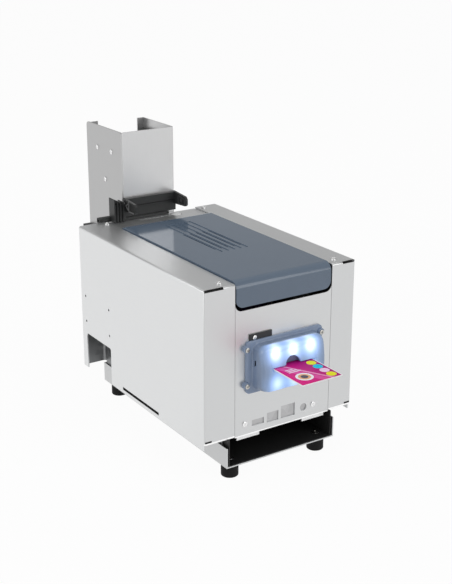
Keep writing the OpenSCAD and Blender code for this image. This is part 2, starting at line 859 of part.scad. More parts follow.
// Round motor with a front boss, between the frames under the platen
module drive_motor() {
    x0 = -frame_in + 0.2;
    color("silver") difference() {
        union() {
            bar_x(x0, x0 + 34, platen_y, motor_z, motor_r);
            bar_x(x0 + 33.9, x0 + 38, platen_y, motor_z, 9);
        }
        bar_x(x0 - 1, x0 + 20, platen_y, motor_z, 2.5 + run_clear);
        for (s = [-1, 1])
            bar_x(x0 - 1, x0 + 5, platen_y, motor_z + s * motor_screw_z, 1.5);
    }
}

module motor_screws() {
    color("silver") for (s = [-1, 1])
        translate([-frame_out, platen_y, motor_z + s * motor_screw_z]) rotate([0, -90, 0])
            pan_screw(2.6, 1.2, 1.4, 6);
}

// Motor shaft with its pinion, in mesh with the platen gear
module motor_pinion() {
    color("gold") {
        translate([gear_x - gear_w, platen_y, motor_z]) rotate([90, 0, 90])
            linear_extrude(gear_w) rotate(180 / pinion_teeth) gear_2d(pinion_teeth, gear_module);
        bar_x(gear_x - gear_w - 1, -frame_in + 14, platen_y, motor_z, 2.5);
    }
}

// Shaft with a rubber-covered drum, x to x, on the drive line
module drive_roller(y, x0, x1) {
    bar_x(x0, x1, y, roller_z, shaft_r);
    bar_x(-31, 31, y, roller_z, roller_r);
    for (s = [-1, 1])
        bar_x(s * 32.3 - 0.8, s * 32.3 + 0.8, y, roller_z, shaft_r + 1.5);
}

// Flanged pulley on the right end of a drive shaft
module shaft_pulley(y) {
    bar_x(belt_x - 1, belt_x + belt_w + 1, y, roller_z, pulley_r - 1);
    bar_x(belt_x, belt_x + belt_w, y, roller_z, pulley_r);
}

belt_end = belt_x + belt_w + 2;

module platen_roller() {
    color("darkslategray") {
        drive_roller(platen_y, gear_x - gear_w - 2, belt_end);
        shaft_pulley(platen_y);
    }
}

module platen_gear() {
    color("ivory") difference() {
        union() {
            translate([gear_x - gear_w, platen_y, roller_z]) rotate([90, 0, 90])
                linear_extrude(gear_w) gear_2d(platen_teeth, gear_module);
            bar_x(gear_x - gear_w, gear_x + 1.2, platen_y, roller_z, 6.5);
        }
        bar_x(gear_x - gear_w - 1, gear_x + 2, platen_y, roller_z, shaft_r + 0.01);
        for (a = [0:60:300])
            bar_x(gear_x - gear_w - 1, gear_x + 2, platen_y + 11.5 * cos(a),
                roller_z + 11.5 * sin(a), 3.4);
    }
}

module exit_roller() {
    color("darkslategray") {
        drive_roller(exit_y, -frame_out - 1, belt_end);
        shaft_pulley(exit_y);
    }
}

module transport_roller() {
    color("darkslategray") {
        drive_roller(transport_y, -frame_out - 1, belt_end);
        shaft_pulley(transport_y);
    }
}

// Belt round the exit and transport pulleys
module drive_belt() {
    r = pulley_r + gap;
    color("dimgray") across(belt_x + 0.3, belt_x + belt_w - 0.3) difference() {
        slot_2d([exit_y, roller_z], [transport_y, roller_z], r + belt_t);
        slot_2d([exit_y, roller_z], [transport_y, roller_z], r);
    }
}

// Free roller that presses the card on a drive roller
module pinch_roller(y) {
    bar_x(-frame_out - 1, frame_out + 1, y, pinch_z, pinch_shaft_r);
    for (s = [-1, 1])
        bar_x(s * 18 - 9, s * 18 + 9, y, pinch_z, pinch_r);
}

module pinch_roller_exit() {
    color("darkslategray") pinch_roller(exit_y);
}

module pinch_roller_transport() {
    color("darkslategray") pinch_roller(transport_y);
}

// Flanged bushings of the three drive shafts, pressed into the frames from inside
module roller_bushings() {
    color("wheat") for (s = [-1, 1], p = drive_at)
        difference() {
            union() {
                bar_x(s * (frame_in + frame_out) / 2 - frame_t / 2 - 0.3,
                    s * (frame_in + frame_out) / 2 + frame_t / 2 + 0.3, p[0], p[1], bush_r);
                bar_x(s * (frame_in - 1.1) - 0.9, s * (frame_in - 1.1) + 0.9, p[0], p[1],
                    bush_r + 1);
            }
            bar_x(-60, 60, p[0], p[1], shaft_r + run_clear);
        }
}

// Roller in the feeder's floor that pulls the lowest card out of the hopper
module feed_roller() {
    color("darkslategray") {
        bar_x(-feeder_half - 1, feeder_half + 1, feed_y, roller_z, shaft_r);
        for (s = [-1, 1])
            bar_x(s * 14 - 8, s * 14 + 8, feed_y, roller_z, roller_r);
    }
}

// ---------------------------------------------------------------- ribbon

// Core with flanges and stub shafts that rest in the frames
module spool_core(y, flange_r) {
    bar_x(-frame_out - 0.5, frame_out + 0.5, y, spool_z, spool_shaft_r);
    bar_x(-spool_half - 4, spool_half + 4, y, spool_z, spool_r);
    for (s = [-1, 1])
        bar_x(s * (spool_half + 1) - 1, s * (spool_half + 1) + 1, y, spool_z, flange_r);
}

// Ribbon wound on a core
module wound(y, r) {
    difference() {
        bar_x(-spool_half + 0.3, spool_half - 0.3, y, spool_z, r);
        bar_x(-spool_half - 1, spool_half + 1, y, spool_z, spool_r + 0.01);
    }
}

module ribbon_supply_core() {
    color("wheat") spool_core(supply_y, supply_wound_r + 1.5);
}

module ribbon_supply_roll() {
    color("indigo") wound(supply_y, supply_wound_r);
}

module ribbon_take_up_core() {
    color("wheat") spool_core(take_up_y, take_up_wound_r + 6);
}

module ribbon_take_up_roll() {
    color("indigo") wound(take_up_y, take_up_wound_r);
}

// Stretch of ribbon between the rolls, level under the print head
module ribbon_film() {
    t = film_t;
    y0 = supply_y + 2;
    y1 = take_up_y - 2;
    z0 = spool_z - supply_wound_r - gap;
    z1 = spool_z - take_up_wound_r - gap;
    color("indigo") across(-spool_half + 3, spool_half - 3)
        polygon([[y0, z0 - t], [head_y[0] - 6, film_z], [head_y[1] + 6, film_z], [y1, z1 - t],
            [y1, z1], [head_y[1] + 6, film_z + t], [head_y[0] - 6, film_z + t], [y0, z0]]);
}

// ---------------------------------------------------------------- lid

// Side outline of the lid, drawn in by t: round front fold and round rear edge
module lid_profile(t) {
    r = lid_front_r - t;
    translate([t, 150]) square([hinge_y - t, lid_top - 150 - lid_front_r]);
    translate([lid_front_r, 150]) square([hinge_y - lid_front_r, lid_top - 150 - t]);
    translate([lid_front_r, lid_top - lid_front_r]) circle(r);
    intersection() {
        translate([hinge_y, hinge_z]) circle(lid_rear_r - t);
        translate([hinge_y - 1, hinge_z]) square(20);
    }
}

// Front outline of the lid: lower corners round
module lid_front_outline() {
    w = lid_x1 - lid_x0;
    translate([(lid_x0 + lid_x1) / 2, lid_bottom + 30]) round_rect(w, 60, lid_corner_r);
}

module lid_cover() {
    groove_x = (lid_x0 + lid_x1) / 2 + 0.5;
    color("slategray") difference() {
        union() {
            difference() {
                intersection() {
                    across(lid_x0, lid_x1) lid_profile(0);
                    fore_aft(-1, hinge_y + 20) lid_front_outline();
                }
                across(lid_x0 + lid_wall, lid_x1 - lid_wall) lid_profile(lid_wall);
                block([lid_x0 - 1, lid_wall, 0],
                    [lid_x1 + 1, hinge_y + 20, deck_z + sheet + gap]);
                block([lid_x0 - 1, hinge_y - 6, 0], [lid_x1 + 1, hinge_y + 20, hinge_z]);
                block([lid_x0 - 1, -1, 0], [lid_x1 + 1, hinge_y + 20, lid_bottom]);
            }
            for (s = [-1, 1], d = [-1, 1])
                across(s * ear_x + d * (ear_t / 2 + 3.3) - 3, s * ear_x + d * (ear_t / 2 + 3.3) + 3) {
                    translate([hinge_y, hinge_z]) circle(barrel_r + 0.2);
                    polygon([[hinge_y - barrel_r, hinge_z - 1], [hinge_y, hinge_z],
                        [hinge_y, lid_top - lid_wall + 0.2],
                        [hinge_y - 22, lid_top - lid_wall + 0.2]]);
                }
            for (x = [lid_x0 + 20, lid_x1 - 20])
                block([x - 0.9, 20, lid_top - lid_wall - 3],
                    [x + 0.9, strip_y - 30.5, lid_top - lid_wall + 0.1]);
        }
        bar_x(-ear_x - 12, ear_x + 12, hinge_y, hinge_z, hinge_pin_r + run_clear);
        for (i = [0:groove_count - 1])
            translate([groove_x + (i - (groove_count - 1) / 2) * groove_pitch, 0, 0]) {
                translate([0, 0, lid_top - 0.7]) linear_extrude(2)
                    slot_2d([0, 102], [0, strip_y - 27.5], 2.2);
                translate([0, 0, lid_top - 8]) linear_extrude(10)
                    slot_2d([0, 114], [0, strip_y - 71.5], 0.8);
            }
    }
}

module hinge_pin() {
    color("silver") {
        bar_x(-ear_x - 9, ear_x + 9, hinge_y, hinge_z, hinge_pin_r);
        bar_x(ear_x + 8.9, ear_x + 10.2, hinge_y, hinge_z, hinge_pin_r + 1);
    }
}

// Bracket under the lid that reaches down through the window to the head
module head_bracket() {
    top = lid_top - lid_wall;
    y0 = head_y[0] - 1;
    y1 = head_y[1] + 1;
    color("silver") {
        difference() {
            block([-34, y0 - 9, top - 2], [34, y1 + 3, top]);
            for (s = [-1, 1])
                translate([s * 18, y0 - 4, top - 3]) linear_extrude(4)
                    slot_2d([-6, 0], [6, 0], 2);
        }
        for (s = [-1, 1])
            difference() {
                across(s * 33 - 1, s * 33 + 1)
                    polygon([[y0 - 6, top - 1.9], [y0, head_z + 24], [y0, head_z + 3],
                        [y1, head_z + 3], [y1, head_z + 30], [y1 + 2, top - 1.9]]);
                bar_x(s * 33 - 2, s * 33 + 2, (y0 + y1) / 2, head_z + 40, 4);
                bar_x(s * 33 - 2, s * 33 + 2, (y0 + y1) / 2, head_z + 62, 4);
            }
        block([-32.1, y0, head_z + 21], [32.1, y1, head_z + 23]);
    }
}

// Print head: finned heat sink over a ceramic bar with a bevelled edge
module print_head() {
    y0 = head_y[0];
    y1 = head_y[1];
    color("darkgray") {
        difference() {
            block([-31.9, y0, head_z + 3], [31.9, y1, head_z + 21]);
            for (i = [0:2])
                block([-40, y0 + 2 + i * 4, head_z + 9], [40, y0 + 4 + i * 4, head_z + 22]);
        }
        across(-29, 29) polygon([[y0 + 2, head_z + 1.2], [y0 + 3.5, head_z], [y1 - 3, head_z],
            [y1 - 1, head_z + 1.6], [y1 - 1, head_z + 3.01], [y0 + 2, head_z + 3.01]]);
    }
}

// ---------------------------------------------------------------- card and knob

module id_card() {
    color("mediumvioletred") translate([0, -card_out + card_l / 2, card_low])
        linear_extrude(card_t) round_rect(card_w, card_l, card_corner_r);
}

// Knob under the hole in the rear strip, turned with a coin
module thickness_knob() {
    top = case_top - 2 * sheet - 0.1 - gap;
    color("white") difference() {
        union() {
            bar_z(knob_at[0], knob_at[1], deck_z + sheet + gap, top, knob_r);
            bar_z(knob_at[0], knob_at[1], deck_z - 12, deck_z + sheet + 1, 3);
        }
        translate([knob_at[0], knob_at[1], top - 1.5]) block([-5, -0.8, 0], [5, 0.8, 2]);
        for (a = [0:30:330])
            translate([knob_at[0], knob_at[1], 0]) rotate(a)
                bar_z(knob_r + 0.5, 0, deck_z + sheet + 4, top - 4, 1);
    }
}

// ---------------------------------------------------------------- feeder and hopper

// Black housing behind the engine that the hopper stands in
module feeder_body() {
    rim = hopper_y - gap;
    rear = hopper_y + hopper_left_d + gap;
    half = hopper_w / 2 + gap;
    color("dimgray") difference() {
        union() {
            block([-feeder_half, feeder_front, feeder_floor + 8],
                [feeder_half, feeder_rear, feeder_top]);
            block([-feeder_half + 8, feeder_front, feeder_floor],
                [feeder_half - 8, feeder_rear - 20, feeder_floor + 8.01]);
        }
        block([-half, rim, hopper_low - gap], [half, rear, feeder_top + 1]);
        block([-guide_in, rim, deck_top], [guide_in, rear - 3, hopper_low]);
        block([-guide_in, feeder_front - 1, card_low - gap], [guide_in, rim + 1, card_high + gap]);
        block([-24, feed_y - roller_r - 0.8, roller_z - roller_r - 1],
            [24, feed_y + roller_r + 0.8, deck_top + 1]);
        bar_x(-feeder_half - 1, feeder_half + 1, feed_y, roller_z, shaft_r + run_clear);
        for (s = [-1, 1], i = [0:feeder_ribs - 1])
            translate([0, feeder_front + 30.5 + i * 18, 0])
                block([s * (feeder_half - 1) - 2, 0, 115], [s * (feeder_half - 1) + 2, 10, 190]);
    }
}

arm_x = hopper_w / 2 + 0.1;
arm_t = 3.5;
arm_y0 = hopper_y - 33.1;
arm_z = [case_top + 12.3, case_top + 25.5];
// Fins of the comb post as [distance outside the arm, height above the arm]
comb_fins = [[17.5, 3.5], [13.4, 1], [9.3, -1], [5.2, -1]];

// One arm of the feeder frame: outline as [y, z]
module arm_outline() {
    polygon([[arm_y0 + 2, arm_z[0]], [arm_y0, arm_z[0] + 2], [arm_y0, arm_z[1] - 4],
        [arm_y0 + 3, arm_z[1] - 1], [hopper_y - gap, arm_z[1] + 1], [hopper_y - gap, arm_z[0] - 2]]);
}

// Diagonal rib between two corners of a cell, as [y, z]
module rib_2d(a, b) {
    slot_2d(a, b, 0.6);
}

// Black frame over the rear strip: beam, ribbed arms, comb post and side clip
module feeder_frame() {
    base = case_top - sheet - 0.1 + gap;
    back = hopper_y - gap;
    color("dimgray") {
        block([-arm_x + 0.5, back - 6, arm_z[0] + 4.8], [arm_x - 0.5, back, arm_z[1] + 0.9]);
        block([-arm_x + 0.5, back - 3, base + 3.3], [arm_x - 0.5, back, arm_z[0] + 4.9]);
        block([-arm_x + 2, back - 5, base], [arm_x - 12, back, base + 3.4]);
        block([-arm_x + 0.5, back - 5, arm_z[0] + 2.2], [arm_x - 0.5, back - 2.9, arm_z[0] + 3.6]);
        for (s = [-1, 1]) {
            across(s * (arm_x - arm_t / 2) - arm_t / 2, s * (arm_x - arm_t / 2) - arm_t / 2 + 1.2)
                arm_outline();
            difference() {
                across(s * (arm_x - arm_t / 2) - arm_t / 2, s * (arm_x - arm_t / 2) + arm_t / 2)
                    union() {
                        difference() {
                            arm_outline();
                            translate([arm_y0 + 1.6, arm_z[0] + 1.4])
                                square([14, arm_z[1] - arm_z[0] - 5.4]);
                            translate([arm_y0 + 17.2, arm_z[0] + 1.4])
                                square([back - arm_y0 - 18.6, arm_z[1] - arm_z[0] - 3.4]);
                        }
                        rib_2d([arm_y0 + 17, arm_z[0] + 1], [back - 1, arm_z[1] - 1.5]);
                        rib_2d([arm_y0 + 17, arm_z[1] - 2], [back - 1, arm_z[0] + 1]);
                        translate([arm_y0 + 10, arm_z[0] + 6]) circle(3.4);
                    }
                bar_x(-arm_x - 1, arm_x + 1, arm_y0 + 10, arm_z[0] + 6, 1.7);
            }
        }
        block([-arm_x - 17.5, back - 8, base], [-arm_x + 0.1, back - 1, arm_z[0] + 8.7]);
        for (fin = comb_fins)
            block([-arm_x - fin[0], back - 10, base],
                [-arm_x - fin[0] + 1.2, back + 4, arm_z[1] + fin[1]]);
        difference() {
            block([-arm_x - 34, back - 0.5, base], [-arm_x - 17, back + 6.4, base + 6.1]);
            block([-arm_x - 35, back + 0.7, base + 1.2], [-arm_x - 19, back + 5.2, base + 4.9]);
        }
    }
}

// Folded channel: front plate, deep left plate and shorter right plate, both lipped
module hopper_channel() {
    half = hopper_w / 2;
    l_end = hopper_y + hopper_left_d;
    r_end = hopper_y + hopper_right_d;
    r = bend_r;
    color("silver") difference() {
        union() {
            translate([0, 0, hopper_low]) linear_extrude(hopper_top - hopper_low) difference() {
                union() {
                    translate([-half, hopper_y]) one_round(2 * half - r, l_end - hopper_y, r);
                    translate([half, hopper_y]) mirror([1, 0]) one_round(2 * half - r,
                        r_end - hopper_y, r);
                }
                translate([-half + sheet, hopper_y + sheet])
                    square([2 * half - 2 * sheet, hopper_left_d]);
            }
            block([-half, l_end - sheet, hopper_low], [-half + 16, l_end, hopper_top]);
            block([guide_in, r_end - sheet, hopper_low], [half, r_end, hopper_top]);
        }
        across(-half - 1, -half + sheet + 20) difference() {
            translate([l_end - 5, hopper_top - 5]) square(6);
            translate([l_end - 5, hopper_top - 5]) circle(5);
        }
        fore_aft(hopper_y - 1, hopper_y + sheet + 0.1) {
            for (s = [-1, 1]) difference() {
                translate([s * (half - 2) - 2, hopper_top - 4]) square(5);
                translate([s * (half - 4), hopper_top - 4]) circle(4);
            }
        }
        for (p = hopper_screw_at)
            bar_x(-half - 1, -half + sheet + 1, p[0], p[1], 1.6);
    }
}

hopper_screw_at = [[hopper_y + 65.1, 309.7], [hopper_y + 26.9, 310.1], [hopper_y + 45.5, 271.3]];

// Upright guide: a flat card face with ribs that reach out to the hopper's side plate.
// Drawn for the left side, from y0 to y1
module card_guide(y0, y1) {
    low = hopper_low + 1;
    difference() {
        union() {
            block([-guide_in - 1.6, y0, low], [-guide_in, y1, guide_top]);
            for (y = [y0, y1 - 1.6])
                block([-guide_out, y, low], [-guide_in, y + 1.6, guide_top]);
            for (z = [low, 190, 271.3 - 4, 309.7 - 4, guide_top - 2])
                block([-guide_out, y0, z], [-guide_in, y1, z + (z > 200 && z < 310 ? 8 : 2)]);
        }
    }
}

module card_guide_left() {
    color("dimgray") difference() {
        card_guide(stack_front + 8, hopper_y + hopper_left_d - sheet - gap);
        for (p = hopper_screw_at)
            bar_x(-guide_out - 1, -guide_in - 2, p[0], p[1], 1.3);
    }
}

module card_guide_right() {
    color("dimgray") mirror([1, 0, 0])
        card_guide(stack_front + 8, hopper_y + hopper_right_d - sheet - gap);
}

module hopper_screws() {
    color("gainsboro") for (p = hopper_screw_at)
        translate([-hopper_w / 2, p[0], p[1]]) rotate([0, -90, 0])
            pan_screw(2.4, 1.3, 1.2, 5);
}

// Loose weight that presses the stack down, with a finger ridge on top
module card_weight() {
    y0 = stack_front;
    y1 = stack_front + card_l - 1;
    color("darkgray") difference() {
        union() {
            translate([0, (y0 + y1) / 2, weight_low]) linear_extrude(weight_h)
                round_rect(card_w, y1 - y0, card_corner_r);
            block([-3, y0 + 20, weight_low + weight_h - 0.01],
                [3, y1 - 20, weight_low + weight_h + 9]);
        }
        for (s = [-1, 1])
            translate([s * 15, (y0 + y1) / 2, weight_low + 3]) linear_extrude(weight_h)
                round_rect(16, y1 - y0 - 16, 4);
    }
}

stand() base_tray();
stand() tray_liner();
stand() rubber_feet();
stand() foot_screws();
stand() control_board();
stand() board_components();
stand() left_side_panel();
stand() right_side_panel();
stand() front_panel();
stand() rear_strip();
stand() chassis_left();
stand() chassis_right();
stand() top_rails();
stand() engine_base();
stand() engine_frame_left();
stand() engine_frame_right();
stand() engine_rear_wall();
stand() card_deck();
stand() upper_deck();
stand() port_shield();
stand() casing_screws();
stand() front_screws();
stand() bezel();
stand() bezel_screws();
stand() led_board();
stand() status_leds();
stand() tab_plate();
stand() tab_screw();
stand() drive_motor();
stand() motor_screws();
stand() motor_pinion();
stand() platen_roller();
stand() platen_gear();
stand() exit_roller();
stand() transport_roller();
stand() drive_belt();
stand() pinch_roller_exit();
stand() pinch_roller_transport();
stand() roller_bushings();
stand() feed_roller();
stand() ribbon_supply_core();
stand() ribbon_supply_roll();
stand() ribbon_take_up_core();
stand() ribbon_take_up_roll();
stand() ribbon_film();
stand() lid_cover();
stand() hinge_pin();
stand() head_bracket();
stand() print_head();
stand() id_card();
stand() thickness_knob();
stand() feeder_body();
stand() feeder_frame();
stand() hopper_channel();
stand() card_guide_left();
stand() card_guide_right();
stand() hopper_screws();
stand() card_weight();
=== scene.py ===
"""Looks of a desktop card printer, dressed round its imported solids.

The frame brings every solid at its place. The operators below give each one its finish and put
finer surfaces where a solid is only a plain form. All lengths are in metres, in the frame's own
coordinates: +Y runs from the exit at the front to the hopper at the back, and +Z is up.
"""

import math

import bmesh
import bpy
import numpy as np
from bpy.props import FloatProperty, FloatVectorProperty, IntProperty, PointerProperty
from bpy.types import Operator, Panel, PropertyGroup
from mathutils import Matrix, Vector


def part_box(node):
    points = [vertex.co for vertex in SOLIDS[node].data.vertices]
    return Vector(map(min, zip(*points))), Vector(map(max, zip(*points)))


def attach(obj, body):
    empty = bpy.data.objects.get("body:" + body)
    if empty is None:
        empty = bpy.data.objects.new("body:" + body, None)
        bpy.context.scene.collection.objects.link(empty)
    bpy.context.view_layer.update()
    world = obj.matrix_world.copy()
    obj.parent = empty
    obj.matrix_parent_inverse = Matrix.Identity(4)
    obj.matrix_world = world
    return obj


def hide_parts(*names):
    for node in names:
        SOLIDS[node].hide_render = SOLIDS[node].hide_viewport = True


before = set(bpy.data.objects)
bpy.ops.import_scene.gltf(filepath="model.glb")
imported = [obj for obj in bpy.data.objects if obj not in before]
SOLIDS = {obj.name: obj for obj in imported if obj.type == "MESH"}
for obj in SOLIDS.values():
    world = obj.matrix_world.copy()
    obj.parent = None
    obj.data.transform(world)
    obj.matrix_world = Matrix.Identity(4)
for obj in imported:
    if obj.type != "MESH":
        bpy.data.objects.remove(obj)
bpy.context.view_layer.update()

bl_info = {
    "name": "Card Printer Looks",
    "version": (1, 0, 0),
    "blender": (4, 5, 0),
    "location": "3D View > Sidebar > Card Printer",
    "description": "Finishes, fine surfaces and studio of a desktop card printer",
    "category": "Object",
}

MM = 0.001
SHEET = 0.0012
FRONT_FACE, FRONT_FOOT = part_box("front_panel")[0][1:]
CASE_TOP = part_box("left_side_panel")[1][2]
HOPPER_LEFT, HOPPER_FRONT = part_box("hopper_channel")[0][:2]
WHITE = (1.0, 1.0, 1.0)
# Painted shade: the black that slots and gaps in the sheet are painted
SLOT_SHADE_BLACK = (0.004, 0.004, 0.004)
# Painted shade: tones that darken the sheet facing the front, and the hopper's left side
FRONT_SHADE, HOPPER_SIDE_SHADE = 0.84, 0.77
# Height below which the front returns of the side panels get a painted white highlight
RETURN_FOOT = 0.0532
# Slots that relieve the bends at the front corners, painted black as their shade: from and to along
# X, then along Z
UPPER_RELIEF = (CASE_TOP - 0.0026, CASE_TOP + 1)
LOWER_RELIEF = (RETURN_FOOT, RETURN_FOOT + 0.0022)
RELIEFS = ((-0.0998, -0.0762, *UPPER_RELIEF), (0.083, 0.0988, *UPPER_RELIEF),
           (-0.0998, -0.0915, *LOWER_RELIEF), (0.0915, 0.0998, *LOWER_RELIEF))
# Long slot low on each side, painted black as its shade: from and to along Y, then along Z
SIDE_SLIT = (-0.0594, 0.0274, 0.0482, 0.0518)
# Slot in the bezel's left side, painted dark as its shade: distance from the casing, height over the
# card, half sizes
SIDE_SLOT_AHEAD, SIDE_SLOT_UP, SIDE_SLOT_HALF = 0.0075, 0.0048, (0.0014, 0.003)
# Foot of the feeder frame's two arms
ARM_FOOT = CASE_TOP + 0.0123
# Half-round thumb pocket over the card
POCKET_RADIUS, POCKET_DEPTH = 0.0098, 0.0068
# Where the photograph was taken from, worked out from the casing's edges in it
CAMERA_PLACE = (-0.6847, -1.09357, 0.61522)
# Bezel's dome: share of the depth, then the insets of sides, bottom and top in millimetres
DOME = ((0, 7.7, 4, 4.2), (0.5, 8.7, 4.6, 4.6), (0.68, 9.5, 5, 5.6), (0.75, 10.1, 5.4, 7),
        (0.9, 10.9, 6.2, 19.8), (0.96, 11.7, 7.2, 24.4), (1, 13.3, 9, 28.2))


# ------------------------------------------------------------------ settings


class CasingSettings(PropertyGroup):
    """Finish of the folded sheet."""

    colour: FloatVectorProperty(
        name="Sheet colour", description="Reflected colour of the casing's satin sheet",
        subtype="COLOR", size=3, min=0, max=1, default=(0.76, 0.768, 0.772))
    hopper_colour: FloatVectorProperty(
        name="Hopper colour", description="Reflected colour of the hopper's sheet",
        subtype="COLOR", size=3, min=0, max=1, default=(0.62, 0.62, 0.622))
    roughness: FloatProperty(
        name="Sheet roughness", description="Blur of the sheet's reflections",
        subtype="FACTOR", min=0.05, max=1, default=0.34)


class LidSettings(PropertyGroup):
    """Finish of the lid."""

    colour: FloatVectorProperty(
        name="Lid colour", description="Colour of the lid's polished plastic",
        subtype="COLOR", size=3, min=0, max=1, default=(0.114, 0.155, 0.212))
    roughness: FloatProperty(
        name="Lid roughness", description="Blur of the lid's reflections",
        subtype="FACTOR", min=0.01, max=1, default=0.09)


class BezelSettings(PropertyGroup):
    """Shape and glow of the bezel round the card exit."""

    colour: FloatVectorProperty(
        name="Bezel colour", description="Colour of the translucent moulding",
        subtype="COLOR", size=3, min=0, max=1, default=(0.215, 0.28, 0.405))
    glow_colour: FloatVectorProperty(
        name="Glow colour", description="Colour of the light round each lamp",
        subtype="COLOR", size=3, min=0, max=1, default=(0.30, 0.52, 1.0))
    glow_strength: FloatProperty(
        name="Glow strength", description="Brightness of the lit patches",
        min=0, max=20, default=1.6)
    glow_radius: FloatProperty(
        name="Glow radius", description="Distance at which a lamp's light has faded to a third",
        subtype="DISTANCE", unit="LENGTH", min=0.002, max=0.03, default=0.0098)
    flange: FloatProperty(
        name="Flange thickness", description="Thickness of the flat rim against the casing",
        subtype="DISTANCE", unit="LENGTH", min=0.001, max=0.006, default=0.003)
    wall: FloatProperty(
        name="Wall", description="Wall of the moulding",
        subtype="DISTANCE", unit="LENGTH", min=0.001, max=0.005, default=0.0025)


class CardSettings(PropertyGroup):
    """Colours of the sample print on the card."""

    field: FloatVectorProperty(
        name="Field", description="Main colour of the print",
        subtype="COLOR", size=3, min=0, max=1, default=(0.76, 0.008, 0.23))
    shade: FloatVectorProperty(
        name="Field's shade", description="Colour that the field turns to along one side",
        subtype="COLOR", size=3, min=0, max=1, default=(0.42, 0.005, 0.19))
    yellow: FloatVectorProperty(
        name="Yellow", description="Colour of the first and last disc",
        subtype="COLOR", size=3, min=0, max=1, default=(0.87, 0.86, 0.02))
    cyan: FloatVectorProperty(
        name="Cyan", description="Colour of the middle disc",
        subtype="COLOR", size=3, min=0, max=1, default=(0.01, 0.60, 0.80))


class StudioSettings(PropertyGroup):
    """Camera, floor and lamps."""

    lens: FloatProperty(
        name="Lens", description="Focal length over a 36 mm sensor side",
        subtype="DISTANCE_CAMERA", min=10, max=300, default=69.7)
    yaw: FloatProperty(
        name="Yaw", description="Turn of the view from straight ahead towards +X",
        subtype="ANGLE", min=-math.pi, max=math.pi, default=math.radians(32.993))
    pitch: FloatProperty(
        name="Pitch", description="How far the view looks down",
        subtype="ANGLE", min=0, max=math.pi / 2, default=math.radians(18.455))
    key_power: FloatProperty(
        name="Key power", description="Power of the large soft lamp on the left",
        subtype="POWER", unit="POWER", min=0, max=500, default=16)
    front_power: FloatProperty(
        name="Front power", description="Power of the soft lamp in front",
        subtype="POWER", unit="POWER", min=0, max=500, default=9)
    top_power: FloatProperty(
        name="Top power", description="Power of the soft lamp above",
        subtype="POWER", unit="POWER", min=0, max=500, default=5)
    room: FloatProperty(
        name="Room level", description="Grey of the room above the white sweep",
        min=0, max=2, default=0.42)


# ------------------------------------------------------------------ shader nodes


class Signal:
    """A socket in an expression: each operator adds the Math node that works it out."""

    def __init__(self, shader, socket):
        self.shader = shader
        self.socket = socket

    def math(self, operation, *others):
        return self.shader.node("Math", {"operation": operation}, [self, *others])

    def __add__(self, other):
        return self.math("ADD", other)

    def __sub__(self, other):
        return self.math("SUBTRACT", other)

    def __rsub__(self, other):
        return self.shader.node("Math", {"operation": "SUBTRACT"}, [other, self])

    def __mul__(self, other):
        return self.math("MULTIPLY", other)

    def __truediv__(self, other):
        return self.math("DIVIDE", other)

    def __lt__(self, other):
        return self.math("LESS_THAN", other)

    def __gt__(self, other):
        return self.math("GREATER_THAN", other)

    __radd__ = __add__
    __rmul__ = __mul__

    def between(self, low, high):
        """1 between two levels and 0 outside them."""
        return (self > low) * (self < high)

    def ramp(self, low, high):
        """Rises smoothly from 0 at low to 1 at high."""
        return self.shader.node(
            "MapRange", {"interpolation_type": "SMOOTHSTEP"},
            {"Value": self, "From Min": low, "From Max": high})


